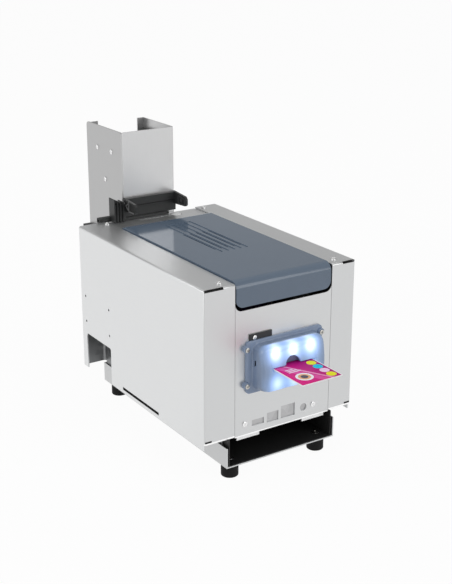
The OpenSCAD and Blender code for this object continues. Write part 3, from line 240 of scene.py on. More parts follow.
class Shader:
    """One material and the calls that add its nodes."""

    def __init__(self, name, owner=None):
        self.owner = owner or bpy.data.materials.new(name)
        self.owner.use_nodes = True
        self.tree = self.owner.node_tree
        self.tree.nodes.clear()
        self.point = None

    def node(self, kind, settings=None, sockets=(), out=0):
        """Adds one node: its settings first, then a value or a link for each socket named."""
        made = self.tree.nodes.new("ShaderNode" + kind)
        for key, value in (settings or {}).items():
            if key == "stops":
                self.set_stops(made.color_ramp, value)
            elif key == "blend":
                made.color_ramp.interpolation = value
            else:
                setattr(made, key, value)
        pairs = sockets.items() if isinstance(sockets, dict) else enumerate(sockets)
        for key, value in pairs:
            if isinstance(value, Signal):
                self.tree.links.new(value.socket, made.inputs[key])
            else:
                made.inputs[key].default_value = value
        return Signal(self, made.outputs[out]) if made.outputs else None

    @staticmethod
    def set_stops(ramp, stops):
        """Gives a colour ramp its stops: a place from 0 to 1 and a colour for each."""
        while len(ramp.elements) < len(stops):
            ramp.elements.new(1)
        for element, (place, colour) in zip(ramp.elements, stops):
            element.position = place
            element.color = (*colour, 1)

    def coordinates(self):
        """The piece's own coordinates as one vector."""
        if self.point is None:
            self.point = self.node("TexCoord", out="Object")
        return self.point

    def xyz(self):
        """The piece's own coordinates as three numbers."""
        parts = self.node("SeparateXYZ", sockets=[self.coordinates()])
        return [Signal(self, parts.socket.node.outputs[i]) for i in range(3)]

    def stretched(self, scale):
        """Coordinates multiplied axis by axis, so that a pattern repeats that often a metre."""
        return self.node("VectorMath", {"operation": "MULTIPLY"}, [self.coordinates(), scale])

    def noise(self, scale, detail=2.0, roughness=0.5):
        """Noise from 0 to 1 with that many features a metre along each axis."""
        return self.node(
            "TexNoise", sockets={"Vector": self.stretched(scale), "Scale": 1.0,
                                 "Detail": detail, "Roughness": roughness})

    def cells(self, scale):
        """A random grey for each crystal of a pattern with that many crystals a metre."""
        tint = self.node("TexVoronoi", sockets={"Vector": self.coordinates(), "Scale": scale},
                         out="Color")
        return self.node("SeparateColor", sockets=[tint])

    def mix(self, share, low, high):
        """The colour that lies share of the way from low to high."""
        low, high = ((*c, 1) if isinstance(c, tuple) else c for c in (low, high))
        return self.node("Mix", {"data_type": "RGBA"}, {0: share, 6: low, 7: high}, out=2)

    def bump(self, height, depth, strength=1.0):
        """Normals of a surface that stands out by height times depth metres."""
        return self.node("Bump", sockets={"Height": height, "Distance": depth,
                                          "Strength": strength})

    def finish(self, surface):
        """Sends a shader to the output and returns the material."""
        self.node("OutputMaterial" if self.owner.id_type == "MATERIAL" else "OutputWorld",
                  sockets={"Surface": surface})
        return self.owner

    def principled(self, **sockets):
        """Ends the material in one Principled shader; names use _ for a space."""
        named = {key.replace("_", " "): value for key, value in sockets.items()}
        for key, value in named.items():
            if key.endswith(("Color", "Tint")) and not isinstance(value, Signal):
                named[key] = (*value, 1)
        return self.finish(self.node("BsdfPrincipled", sockets=named))


def tinted(colour, factor):
    """A colour multiplied by a plain number."""
    return tuple(min(c * factor, 1.0) for c in colour)


def sheet_steel(name, colour, roughness, grain=(90, 1500, 90), metal=0.92, ahead=None,
                beside=None, below=None):
    """Satin sheet: fine rolling lines that shift the tone, the blur and the surface a little.

    Faces that stand ahead of a depth, or beside a place along X, get a painted shade a tone darker.
    Sheet with faces ahead also has its relief slots and low slots painted dull black as their
    shade, and a painted white highlight on its front faces below the return's foot. Below a
    height, a painted white highlight covers the sheet.
    """
    s = Shader(name)
    lines = s.noise(grain, detail=3)
    cloud = s.noise((14, 14, 14), detail=1)
    tone = lines * 0.7 + cloud * 0.3
    paint = s.mix(tone, tinted(colour, 0.965), tinted(colour, 1.03))
    slots = 0.0
    if ahead is not None:
        x, y, z = s.xyz()
        # Painted shade: faces ahead of the depth are a tone darker
        paint = s.mix(y < ahead, paint, tinted(colour, FRONT_SHADE))
        # Painted highlight: the front faces are white below RETURN_FOOT
        paint = s.mix((y < ahead) * (z < RETURN_FOOT), paint, WHITE)
        # Painted shade: the relief slots and the low side slit are dull black, with no metal and
        # rougher
        for start, end, bottom, top in RELIEFS:
            slots = slots + x.between(start, end) * (y < ahead + 0.0004) * z.between(bottom, top)
        start, end, bottom, top = SIDE_SLIT
        slots = slots + y.between(start, end) * z.between(bottom, top)
        paint = s.mix(slots, paint, SLOT_SHADE_BLACK)
    if beside is not None:
        # Painted shade: faces beside the place along X are a tone darker
        paint = s.mix(s.xyz()[0] < beside, paint, tinted(colour, HOPPER_SIDE_SHADE))
    if below is not None:
        # Painted highlight: white below the height
        paint = s.mix(s.xyz()[2] < below, paint, WHITE)
    return s.principled(
        Base_Color=paint,
        Metallic=metal - slots * metal,
        Roughness=tone * 0.10 + (roughness - 0.05) + slots * 0.5,
        Normal=s.bump(lines, 0.00002, 0.25))


def zinc_sheet(name, colour, below=-1.0):
    """Zinc-coated sheet: large flat crystals of different greys, with a painted white highlight and
    less metal below a height.
    """
    s = Shader(name)
    crystal = s.cells(130)
    # Painted highlight: white, with less metal, below the height
    painted = s.xyz()[2] < below
    grey = s.mix(crystal, tinted(colour, 0.88), tinted(colour, 1.08))
    return s.principled(
        Base_Color=s.mix(painted, grey, (0.95, 0.95, 0.95)),
        Metallic=0.85 - painted * 0.65,
        Roughness=crystal * 0.18 + 0.32)


def moulded(name, colour, roughness=0.5, grain=2600.0, depth=0.00004):
    """Moulded plastic: spark-eroded grain and a faint cloudiness in the tone."""
    s = Shader(name)
    fine = s.noise((grain, grain, grain), detail=2)
    cloud = s.noise((35, 35, 35), detail=2)
    return s.principled(
        Base_Color=s.mix(cloud, tinted(colour, 0.88), tinted(colour, 1.14)),
        Roughness=fine * 0.12 + (roughness - 0.06),
        Normal=s.bump(fine, depth, 0.5))


def rubber(name, colour):
    """Rubber: dull, dusty and finely pitted."""
    s = Shader(name)
    pits = s.noise((1500, 1500, 1500), detail=3)
    dust = s.noise((60, 60, 60), detail=3)
    return s.principled(
        Base_Color=s.mix(dust, colour, tinted(colour, 1.7)),
        Specular_IOR_Level=0.25,
        Roughness=pits * 0.15 + 0.68,
        Normal=s.bump(pits, 0.00006, 0.6))


def machined(name, colour, roughness, axis, metal=1.0):
    """Turned or ground metal: fine rings across its axis."""
    s = Shader(name)
    across = [60.0, 60.0, 60.0]
    across["XYZ".index(axis)] = 4200.0
    rings = s.noise(tuple(across), detail=1)
    return s.principled(
        Base_Color=s.mix(rings, tinted(colour, 0.92), tinted(colour, 1.05)),
        Metallic=metal,
        Roughness=rings * 0.12 + (roughness - 0.06),
        Normal=s.bump(rings, 0.00002, 0.3))


def circuit_laminate(name, colour):
    """Circuit board: copper tracks on a grid, shown paler under the green lacquer."""
    s = Shader(name)
    x, y, z = s.xyz()
    pitch = 0.0034
    weave = s.noise((900, 900, 900), detail=1)
    way = s.noise((110, 110, 110), detail=0)
    run_x = ((x / pitch).math("FRACT") < 0.3) * (way > 0.52)
    run_y = ((y / pitch).math("FRACT") < 0.3) * (way < 0.46)
    run_z = ((z / pitch).math("FRACT") < 0.3) * (way < 0.40)
    tracks = run_x.math("MAXIMUM", run_y).math("MAXIMUM", run_z)
    return s.principled(
        Base_Color=s.mix(tracks, tinted(colour, 0.8), tinted(colour, 1.9)),
        Roughness=weave * 0.1 + 0.25,
        Coat_Weight=0.5,
        Normal=s.bump(tracks, 0.00005, 0.6))


# ------------------------------------------------------------------ surfaces


def grid_faces(rows, columns, wrap_rows, wrap_columns):
    """Quads between neighbours of a grid of points; a wrapped direction joins its ends."""
    r, c = np.meshgrid(
        np.arange(rows if wrap_rows else rows - 1),
        np.arange(columns if wrap_columns else columns - 1), indexing="ij")
    r_next, c_next = (r + 1) % rows, (c + 1) % columns
    corners = [r * columns + c, r * columns + c_next,
               r_next * columns + c_next, r_next * columns + c]
    return np.stack(corners, -1).reshape(-1, 4)


def outward(points, faces):
    """The faces, turned round if they enclose a negative volume."""
    a, b, c, d = (points[faces[:, i]] for i in range(4))
    volume = np.einsum("ij,ij->i", a, np.cross(b, c) + np.cross(c, d)).sum()
    return faces[:, ::-1] if volume < 0 else faces


def closed_surface(grid, wrap_rows=False):
    """Points and faces of a grid whose columns run round; end rows shrink to a point or wrap."""
    rows, columns = grid.shape[:2]
    points = grid.reshape(-1, 3)
    return points, outward(points, grid_faces(rows, columns, wrap_rows, True))


def make_piece(name, shapes, material, body, replaces=(), sharp=35.0):
    """One object out of several closed surfaces, riding on a body."""
    counts = np.cumsum([0] + [len(points) for points, _ in shapes])
    points = np.concatenate([points for points, _ in shapes])
    faces = np.concatenate([f + start for (_, f), start in zip(shapes, counts)])
    mesh = bpy.data.meshes.new(name)
    mesh.from_pydata(points.tolist(), [], faces.tolist())
    merged = bmesh.new()
    merged.from_mesh(mesh)
    bmesh.ops.remove_doubles(merged, verts=merged.verts, dist=1e-7)
    bmesh.ops.dissolve_degenerate(merged, edges=merged.edges, dist=1e-7)
    merged.to_mesh(mesh)
    merged.free()
    mesh.shade_smooth()
    mesh.set_sharp_from_angle(angle=math.radians(sharp))
    mesh.materials.append(material)
    piece = bpy.data.objects.new(name, mesh)
    bpy.context.scene.collection.objects.link(piece)
    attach(piece, body)
    if replaces:
        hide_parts(*replaces)
    return piece


def turned(profile, segments=48):
    """Surface of revolution about Z: a (radius, height) profile carried round a full turn."""
    profile = np.asarray(profile, float)
    turn = np.linspace(0, 2 * math.pi, segments, endpoint=False)
    r, h = profile[:, :1], profile[:, 1:]
    return np.stack([r * np.cos(turn), r * np.sin(turn), h + 0 * turn], -1)


def arc(centre, radius, start, end, steps=6):
    """Points (radius, height) on an arc between two angles in degrees."""
    a = np.radians(np.linspace(start, end, steps))
    return np.stack([centre[0] + radius * np.cos(a), centre[1] + radius * np.sin(a)], -1)


def aimed(grid, origin, axis):
    """Turns a form that stands on Z so that it points along an axis, and moves it."""
    ways = {
        "+X": np.array([[0, 0, 1], [0, 1, 0], [-1, 0, 0]]),
        "-X": np.array([[0, 0, -1], [0, 1, 0], [1, 0, 0]]),
        "+Y": np.array([[1, 0, 0], [0, 0, 1], [0, -1, 0]]),
        "-Y": np.array([[1, 0, 0], [0, 0, -1], [0, 1, 0]]),
        "+Z": np.eye(3),
        "-Z": np.diag([1, -1, -1]),
    }
    return grid @ ways[axis].T + np.array(origin)


def solid_boxes(node):
    """Corners of each separate solid of a node: points that share a triangle share a label."""
    mesh = bmesh.new()
    mesh.from_mesh(SOLIDS[node].data)
    bmesh.ops.remove_doubles(mesh, verts=mesh.verts, dist=1e-6)
    points = np.array([v.co for v in mesh.verts])
    edges = np.array([[v.index for v in e.verts] for e in mesh.edges])
    mesh.free()
    label = np.arange(len(points))
    while True:
        low = np.minimum(label[edges[:, 0]], label[edges[:, 1]])
        spread = label.copy()
        np.minimum.at(spread, edges[:, 0], low)
        np.minimum.at(spread, edges[:, 1], low)
        if (spread == label).all():
            break
        label = spread
    return [(points[label == k].min(0), points[label == k].max(0)) for k in np.unique(label)]


# ------------------------------------------------------------------ operators


def dress(material, *nodes):
    """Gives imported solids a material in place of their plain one."""
    for node in nodes:
        slots = SOLIDS[node].data.materials
        slots.clear()
        slots.append(material)
        SOLIDS[node].data.polygons.foreach_set(
            "material_index", np.zeros(len(SOLIDS[node].data.polygons), np.int32))


def soften(width, *nodes):
    """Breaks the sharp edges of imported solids: their loose triangles are welded, then bevelled."""
    for node in nodes:
        weld = SOLIDS[node].modifiers.new("Weld", "WELD")
        weld.merge_threshold = 1e-6
        bevel = SOLIDS[node].modifiers.new("Edge", "BEVEL")
        bevel.width = width
        bevel.segments = 2
        bevel.limit_method = "ANGLE"
        bevel.angle_limit = math.radians(50)
        bevel.use_clamp_overlap = True
        bevel.harden_normals = False


class CARDPRINTER_OT_casing(Operator):
    """Dress the folded sheet: panels, strip, tray, chassis and hopper"""

    bl_idname = "card_printer.casing"
    bl_label = "Casing Sheet"

    def execute(self, context):
        look = context.scene.card_printer_casing
        colour, rough = tuple(look.colour), look.roughness
        skin = SHEET + 0.0002
        # Painted shade and highlight: the side sheet's front returns are a tone darker and white at
        # their foot, and its slots are painted black
        side = sheet_steel("Satin_Sheet", colour, rough, grain=(1400, 60, 1400),
                           ahead=FRONT_FACE + skin)
        # Painted shade: the whole front is a tone darker than the sides; painted highlight: white
        # along its foot
        front = sheet_steel("Satin_Front_Shaded", tinted(colour, FRONT_SHADE), rough,
                            grain=(60, 900, 1400), below=FRONT_FOOT + skin)
        # Painted shade: the hopper's left side is a tone darker
        hopper = sheet_steel("Hopper_Sheet", tuple(look.hopper_colour), rough,
                             grain=(900, 900, 50), beside=HOPPER_LEFT + 0.0013)
        tray = sheet_steel("Tray_Sheet", tinted(colour, 0.78), rough, grain=(1400, 60, 1400))
        dress(side, "left_side_panel", "right_side_panel", "rear_strip")
        dress(tray, "base_tray")
        dress(front, "front_panel")
        dress(hopper, "hopper_channel")
        soften(0.0003, "left_side_panel", "right_side_panel", "front_panel", "rear_strip",
               "base_tray", "hopper_channel")
        dress(zinc_sheet("Zinc_Sheet", (0.26, 0.265, 0.27)), "chassis_left", "chassis_right",
              "top_rails")
        # Painted highlight: the shield shows white below the front's foot
        shield = zinc_sheet("Shield_Zinc", (0.50, 0.50, 0.505), below=FRONT_FOOT)
        make_piece("port_shield_folded", shield_shapes(), shield, "machine",
                   ["port_shield"])
        # Black of the tray's liner; the same black is painted shade in the strips that keep the side
        # slots dark
        liner = moulded("Liner_And_Slot_Shade_Sheet", (0.012, 0.012, 0.012), 0.55, 900.0)
        dress(liner, "tray_liner")
        make_piece("side_slot_shade_strips", slot_shade_strip_shapes(), liner, "machine")
        dress(machined("Ground_Pin", (0.7, 0.7, 0.7), 0.2, "X"), "hinge_pin")
        return {"FINISHED"}


def slot_shade_strip_shapes():
    """Thin black strips of painted shade that close the long slots from behind: rectangles carried
    along X.
    """
    start, end, bottom, top = SIDE_SLIT
    lap, thick = 0.002, 0.0006
    outline = [(start - lap, bottom - lap), (end + lap, bottom - lap),
               (end + lap, top + lap), (start - lap, top + lap)]
    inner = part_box("right_side_panel")[1][0] - SHEET - 0.0005
    return [extruded(outline, x, x + thick) for x in (-inner, inner - thick)]


def extruded(outline, low_x, high_x):
    """A closed (y, z) outline carried along X, with each end drawn in to its middle."""
    outline = np.asarray(outline, float)
    rows = []
    for x, share in ((low_x, 0), (low_x, 1), (high_x, 1), (high_x, 0)):
        ring = outline.mean(0) + share * (outline - outline.mean(0))
        rows.append(np.column_stack([np.full(len(ring), x), ring]))
    return closed_surface(np.stack(rows))


def shield_shapes():
    """Sheet behind the front: it stands against the panel and steps back behind the panel's lip."""
    low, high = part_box("port_shield")
    near, far = FRONT_FACE + SHEET + 0.0001, low[1]
    lip = FRONT_FOOT + 0.0016
    foot = lip - 0.003
    outline = [(near, high[2]), (near, lip + 0.002), (far, lip), (far, foot),
               (far + SHEET, foot), (far + SHEET, lip + 0.0006),
               (near + SHEET, lip + 0.0026), (near + SHEET, high[2])]
    tab = [(far, low[2]), (far + SHEET, low[2]), (far + SHEET, foot - 0.0002),
           (far, foot - 0.0002)]
    tab_ends = ((low[0] + 0.0013, low[0] + 0.0316), (high[0] - 0.031, high[0]))
    return [extruded(outline, low[0], high[0]),
            *(extruded(tab, start, end) for start, end in tab_ends)]


class CARDPRINTER_OT_mouldings(Operator):
    """Dress the black and pale mouldings: engine, decks, feeder, guides and knob"""

    bl_idname = "card_printer.mouldings"
    bl_label = "Mouldings"

    def execute(self, context):
        black = moulded("Black_Moulding", (0.022, 0.023, 0.023), 0.46)
        dress(black, "feeder_body", "feeder_frame", "card_guide_left", "card_guide_right")
        soften(0.0004, "feeder_body", "feeder_frame")
        engine = moulded("Engine_Moulding", (0.018, 0.018, 0.02), 0.52)
        dress(engine, "engine_base", "engine_frame_left", "engine_frame_right",
              "engine_rear_wall", "card_deck", "upper_deck")
        dress(moulded("Tab_Paint", (0.02, 0.02, 0.02), 0.4, 3500.0), "tab_plate")
        white = moulded("White_Moulding", (0.9, 0.9, 0.9), 0.35)
        make_piece("knob_turned", [knob_shape()], white, "knob",
                   ["thickness_knob"])
        # Painted highlight: the ribs are the frame's black moulding, coloured lighter as if catching
        # light
        rib_highlight = moulded("Rib_Moulding", (0.17, 0.17, 0.172), 0.36)
        make_piece("arm_cross_ribs", rib_shapes(), rib_highlight, "machine")
        # Painted highlight, weaker: the right arm's ribs and boss are lighter than the black frame
        faint = moulded("Frame_Rib_Moulding", (0.06, 0.06, 0.061), 0.4)
        make_piece("arm_frame_ribs", frame_rib_shapes(), faint, "machine")
        spool = moulded("Spool_Moulding", (0.62, 0.58, 0.5), 0.42)
        dress(spool, "ribbon_supply_core", "ribbon_take_up_core")
        dress(moulded("Gear_Nylon", (0.78, 0.75, 0.66), 0.4, 1800.0), "platen_gear")
        dress(moulded("Weight_Paint", (0.07, 0.072, 0.075), 0.5, 1400.0), "card_weight")
        return {"FINISHED"}


def knob_shape():
    """A low round knob: a polar grid whose flat top sinks where a bar across it is slotted."""
    low, high = (np.array(c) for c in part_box("thickness_knob"))
    centre = (low + high) / 2
    radius = (high - low)[0] / 2
    skirt_top, stem = 0.012, 0.003
    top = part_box("rear_strip")[1][2] - low[2] + 0.0002
    reach = np.append(np.linspace(0, 0.94, 22), 1.0)[:, None]
    turn = np.linspace(0, 2 * math.pi, 72, endpoint=False)
    x, y = radius * reach * np.cos(turn), radius * reach * np.sin(turn)
    slot_half, slot_end, slot_depth, rim_drop = 0.0007, 0.0048, 0.0008, 0.0004
    slot = step(slot_half - abs(y), 0.0004) * step(slot_end - abs(x), 0.0006)
    height = top - slot_depth * slot - rim_drop * (reach > 0.99)
    skirt = turned([(radius, skirt_top), (stem, skirt_top), (stem, 0), (0, 0)], len(turn))
    grid = np.concatenate([np.stack([x, y, height], -1), skirt])
    return closed_surface(grid + np.array([centre[0], centre[1], low[2]]))


def rib_lines(ends, side):
    """Ribs on an arm's left side: each a bar between two (y, z) points, carried along X.

    The points are in millimetres from the hopper's front along Y and the arm's foot along Z.
    """
    origin = np.array([HOPPER_FRONT - 0.0003, ARM_FOOT])
    half, rise, root = 0.0006, 0.0009, 0.0002
    shapes = []
    for start, end in np.array(ends) * MM:
        way = (end - start) / np.linalg.norm(end - start)
        across = np.array([-way[1], way[0]]) * half
        outline = np.array([start - across, end - across, end + across, start + across])
        shapes.append(extruded(outline + origin, side - rise, side + root))
    return shapes


def rib_shapes():
    """Two crossed ribs, an upright and a foot rib on the outer side of the frame's left arm."""
    outer_side = HOPPER_LEFT - 0.0001
    return rib_lines((((-16.1, 1.0), (-1.0, 11.7)), ((-16.1, 11.2), (-1.0, 1.0)),
                      ((-16.1, 0.0), (-16.1, 13.2)), ((-29.5, 0.6), (-16.1, 0.6))), outer_side)


def frame_rib_shapes():
    """A rim of four ribs round a turned boss on the inner side of the frame's right arm."""
    inner_side = 0.0345
    rim = rib_lines((((-31.0, 1.2), (-15.5, 1.2)), ((-31.0, 8.8), (-15.5, 11.2)),
                     ((-31.0, 1.2), (-31.0, 8.8)), ((-15.5, 1.2), (-15.5, 11.2))), inner_side)
    radius, rise = 0.0024, 0.0011
    boss = turned([(0, 0), (radius, 0), (radius, rise), (0, rise)], 32)
    centre = (inner_side + 0.0002, HOPPER_FRONT - 0.0234, ARM_FOOT + 0.006)
    return [*rim, closed_surface(aimed(boss, centre, "-X"))]


class CARDPRINTER_OT_lid(Operator):
    """Dress the polished lid with the print head that it carries"""

    bl_idname = "card_printer.lid"
    bl_label = "Lid"

    def execute(self, context):
        look = context.scene.card_printer_lid
        colour = tuple(look.colour)
        s = Shader("Lid_Gloss")
        ripple = s.noise((45, 45, 45), detail=1)
        haze = s.noise((300, 300, 300), detail=4)
        gloss = s.principled(
            Base_Color=s.mix(ripple, tinted(colour, 0.97), tinted(colour, 1.03)),
            Roughness=haze * 0.05 + look.roughness,
            IOR=1.5,
            Coat_Weight=0.15,
            Coat_Roughness=0.05,
            Normal=s.bump(ripple, 0.00003, 0.2))
        dress(gloss, "lid_cover")
        dress(sheet_steel("Bracket_Steel", (0.6, 0.6, 0.61), 0.3), "head_bracket")
        dress(machined("Head_Aluminium", (0.5, 0.5, 0.52), 0.3, "Y"), "print_head")
        return {"FINISHED"}


class CARDPRINTER_OT_bezel(Operator):
    """Make the domed bezel round the exit: one wall folded from rim to throat and back"""

    bl_idname = "card_printer.bezel"
    bl_label = "Bezel"

    def execute(self, context):
        look = context.scene.card_printer_bezel
        make_piece("bezel_shell", bezel_shapes(look), bezel_glow(look), "machine",
                   ["bezel"], sharp=50)
        lamps = Shader("Lamp_Glow")
        grain = lamps.noise((900, 900, 900))
        dress(lamps.principled(
            Base_Color=(0.9, 0.95, 1.0),
            Roughness=grain * 0.1 + 0.25,
            Emission_Color=lamps.mix(grain, (0.7, 0.85, 1.0), (0.9, 0.97, 1.0)),
            Emission_Strength=3.0), "status_leds")
        return {"FINISHED"}


def rounded_rect(width, height, radius, corner_steps=12, side_steps=(120, 36, 48, 36)):
    """Outline of a rounded rectangle as (x, z): a quarter turn at each corner, then a side.

    The sides come in the order top, left, bottom, right.
    """
    quarter = np.linspace(0, math.pi / 2, corner_steps)
    out = []
    for k, (sx, sz) in enumerate(((1, 1), (-1, 1), (-1, -1), (1, -1))):
        centre = np.array([sx * (width / 2 - radius), sz * (height / 2 - radius)])
        a = quarter + k * math.pi / 2
        out.append(centre + radius * np.stack([np.cos(a), np.sin(a)], -1))
    sides = []
    for here, after, steps in zip(out, out[1:] + out[:1], side_steps):
        share = np.linspace(0, 1, steps + 2)[1:-1, None]
        sides.append(np.concatenate([here, here[-1] * (1 - share) + after[0] * share]))
    return np.concatenate(sides)


def monotone(keys, values, at):
    """Cubic curve through rising values that never overshoots.

    Its slope at a key is the harmonic mean of the slopes on either side.
    """
    run = np.diff(keys)[:, None]
    slope = np.diff(values, axis=0) / run
    middle = 2 * slope[:-1] * slope[1:] / (slope[:-1] + slope[1:])
    tangent = np.concatenate([slope[:1], middle, slope[-1:]])
    k = np.clip(np.searchsorted(keys, at, side="right") - 1, 0, len(run) - 1)
    t = (at - keys[k])[:, None] / run[k]
    return (values[k] * (1 + 2 * t) * (1 - t) ** 2 + values[k + 1] * t * t * (3 - 2 * t)
            + run[k] * (tangent[k] * t * (1 - t) ** 2 - tangent[k + 1] * t * t * (1 - t)))


def bezel_row(width, height, radius, y, x, z):
    """One rounded rectangle of the bezel's wall, standing at depth y about the centre (x, z)."""
    outline = rounded_rect(width, height, radius)
    return np.stack([x + outline[:, 0], np.full(len(outline), y), z + outline[:, 1]], -1)


def dome_rows(shares, flange, depth, wall, back):
    """Rounded rectangles of the dome at shares of its depth, shrunk by a wall.

    The insets of the sides, the bottom and the top from the flange's edge follow monotone curves
    through DOME: the top leans back above the slot, the other edges roll over near the front.
    """
    low, high = flange
    keys = np.array(DOME)
    insets = monotone(keys[:, 0], keys[:, 1:] * MM, shares) + wall
    rows = []
    for share, (side, bottom, top) in zip(shares, insets):
        rows.append(bezel_row(
            high[0] - low[0] - 2 * side, high[1] - low[1] - bottom - top, 0.008 - wall,
            back - depth * share, (low[0] + high[0]) / 2, (low[1] + high[1] + bottom - top) / 2))
    return rows


def bezel_shapes(look):
    """The bezel's wall and its screw bosses.

    Rows follow the wall's section: out along the rim, over the dome, across the face to the
    slot, back through the throat, and home inside.
    """
    low, high = (np.array(c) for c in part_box("bezel"))
    card_low, card_high = (np.array(c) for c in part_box("id_card"))
    screws = solid_boxes("bezel_screws")
    boss = (screws[0][0][0] + screws[0][1][0]) / 2 - low[0]
    flange = (low[0] + boss, low[2]), (high[0] - boss + 0.0025, high[2])
    middle = [(a + b) / 2 for a, b in zip(*flange)]
    width, height = flange[1][0] - flange[0][0], flange[1][1] - flange[0][1]
    back, front = high[1], low[1]
    card_z = (card_low[2] + card_high[2]) / 2
    corner, rim, foot = 0.005, 0.0008, 0.0012
    rows = [bezel_row(width, height, corner, back, *middle)]
    for a in np.radians(np.linspace(0, 90, 5)):
        inset = rim * (1 - math.cos(a))
        rows.append(bezel_row(width - 2 * inset, height - 2 * inset, corner - inset,
                              back - look.flange + rim * (1 - math.sin(a)), *middle))
    for a in np.radians(np.linspace(0, 80, 5)):
        rows += dome_rows(np.array([0.0]), flange, 0, foot * (math.sin(a) - 1),
                          back - look.flange - foot * (1 - math.cos(a)))
    depth = back - look.flange - front
    rows += dome_rows(np.linspace(foot / depth, 1, 64), flange, depth, 0, back - look.flange)
    card_width = card_high[0] - card_low[0]
    slot = bezel_row(card_width + 0.003, 0.0034, 0.0006, front, 0, card_z)
    rows += [rows[-1] * (1 - t) + slot * t for t in np.linspace(0, 1, 30)[1:]]
    rows = [cut_window(cut_side_slot(row, low, back, card_z), front, card_z) for row in rows]
    throat_end = back - 0.005
    throat = slot.copy()
    throat[:, 1] = throat_end
    collar = bezel_row(card_width + 0.009, 0.012, 0.003, throat_end, 0, card_z)
    inner = dome_rows(np.linspace(0.9, 0, 48), flange, depth + look.flange - look.wall, look.wall,
                      back)
    face = [collar * (1 - t) + inner[0] * t for t in np.linspace(0, 0.8, 5)]
    for row in face:
        row[:, 1] = inner[0][0, 1]
    inner = [sink_pocket(row, front + POCKET_DEPTH + 0.0017, card_z, POCKET_RADIUS + 0.0015)
             for row in face + inner]
    grid = np.stack(rows + [throat, collar] + inner)
    shapes = [closed_surface(grid, wrap_rows=True)]
    tall, edge = 0.005, 0.0008
    profile = [(0, 0), (boss, 0), (boss, tall - edge),
               *arc((boss - edge, tall - edge), edge, 0, 90), (0, tall)]
    for s_low, s_high in screws:
        centre = (s_low + s_high) / 2
        shapes.append(closed_surface(aimed(turned(profile), (centre[0], back, centre[2]), "-Y")))
    return shapes


def cut_window(row, front, card_z):
    """Sinks the face above the slot: a shallow window and a half-round thumb pocket.

    A smooth step of the distance to each edge carries the point from the face to the floor,
    which leans back as the face does.
    """
    left, right, top, blur = -0.029, 0.0302, 0.018, 0.0008
    sunk, upright, lean = 0.0011, 0.002, 0.256
    x, z = row[:, 0], row[:, 2] - card_z
    window = step(x - left, blur) * step(right - x, blur) * step(top - z, blur) * above_card(z)
    floor = front + sunk + np.clip(z - upright, 0, top - upright) * lean
    out = row.copy()
    out[:, 1] += window * np.maximum(floor - out[:, 1], 0)
    return sink_pocket(out, front + POCKET_DEPTH, card_z, POCKET_RADIUS)


def above_card(z):
    """Smooth step from 0 at the card's middle to 1 just above its top."""
    return step(z - 0.0004, 0.0008)


def sink_pocket(row, floor, card_z, radius):
    """Sinks the points of a half disc above the slot to a depth."""
    x, z = row[:, 0], row[:, 2] - card_z
    pocket = step(radius - np.hypot(x, z), 0.001) * above_card(z)
    out = row.copy()
    out[:, 1] += pocket * np.maximum(floor - out[:, 1], 0)
    return out


def cut_side_slot(row, low, back, card_z):
    """Presses the left side in over a slit beside the exit: a step in from each of its edges."""
    half_y, half_z = SIDE_SLOT_HALF
    left = row[:, 0] < low[0] * 0.7
    slit = step(half_y - abs(row[:, 1] - back + SIDE_SLOT_AHEAD), 0.0005) * step(
        half_z - abs(row[:, 2] - card_z - SIDE_SLOT_UP), 0.0006)
    out = row.copy()
    out[:, 0] += 0.004 * slit * left
    return out


def step(value, width):
    """Smooth step from 0 to 1 over a width about zero."""
    t = np.clip(value / width + 0.5, 0, 1)
    return t * t * (3 - 2 * t)


def bezel_glow(look):
    """Milky plastic with painted light from the lamps behind it: an emitted glow that falls off with
    distance from each lamp.
    """
    s = Shader("Bezel_Milk")
    x, y, z = s.xyz()
    bezel_low, bezel_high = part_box("bezel")
    front = bezel_low[1]
    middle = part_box("id_card")[0][2]
    glow = core = 0.0
    for low, high in solid_boxes("status_leds"):
        centre = (low + high) / 2
        glow_share, core_share = (1.0, 1.0) if centre[2] > middle else (0.78, 0.3)
        dx = x - float(centre[0])
        dz = z - float(centre[2])
        # a patch is a little taller than wide, with a whiter core
        spread = (dx * dx * 0.85 + dz * dz * 0.6) / (-look.glow_radius ** 2)
        glow = glow + spread.math("EXPONENT") * glow_share
        core = core + (spread * 3.0).math("EXPONENT") * core_share
    # the face leans back above the slot; what lies deeper than it gets no painted glow, and in the
    # pocket a painted shade
    up = z - middle
    sunk = y - front - up.math("MAXIMUM", 0.0) * 0.25
    in_pocket = (x * x + up * up) < (POCKET_RADIUS + 0.0004) ** 2
    shade = sunk.ramp(0.0012, 0.0035) * in_pocket
    lit = (1 - sunk.ramp(0.0035, 0.0085)) * (1 - shade * 0.9)
    halo = s.mix(core.math("MINIMUM", 1.0), tuple(look.glow_colour), WHITE)
    light = s.mix((glow * lit).math("MINIMUM", 1.0), (0.0, 0.0, 0.0), halo)
    cloud = s.noise((70, 70, 70), detail=2)
    fine = s.noise((1800, 1800, 1800), detail=1)
    colour = tuple(look.colour)
    # Painted shade: the side slit and the pocket are darkened in the base colour
    half_y, half_z = (half + 0.0001 for half in SIDE_SLOT_HALF)
    slit = (x < bezel_low[0] * 0.7) * band(up, SIDE_SLOT_UP + 0.0004, half_z) * band(
        y, bezel_high[1] - SIDE_SLOT_AHEAD, half_y)
    dark = (shade * 0.5).math("MAXIMUM", slit)
    milk = s.mix(cloud, tinted(colour, 0.93), tinted(colour, 1.08))
    return s.principled(
        Base_Color=s.mix(dark, milk, (0.01, 0.012, 0.02)),
        Roughness=fine * 0.08 + 0.22,
        Coat_Weight=0.35,
        Coat_Roughness=0.1,
        Emission_Color=light,
        Emission_Strength=look.glow_strength,
        Normal=s.bump(fine, 0.00002, 0.2))


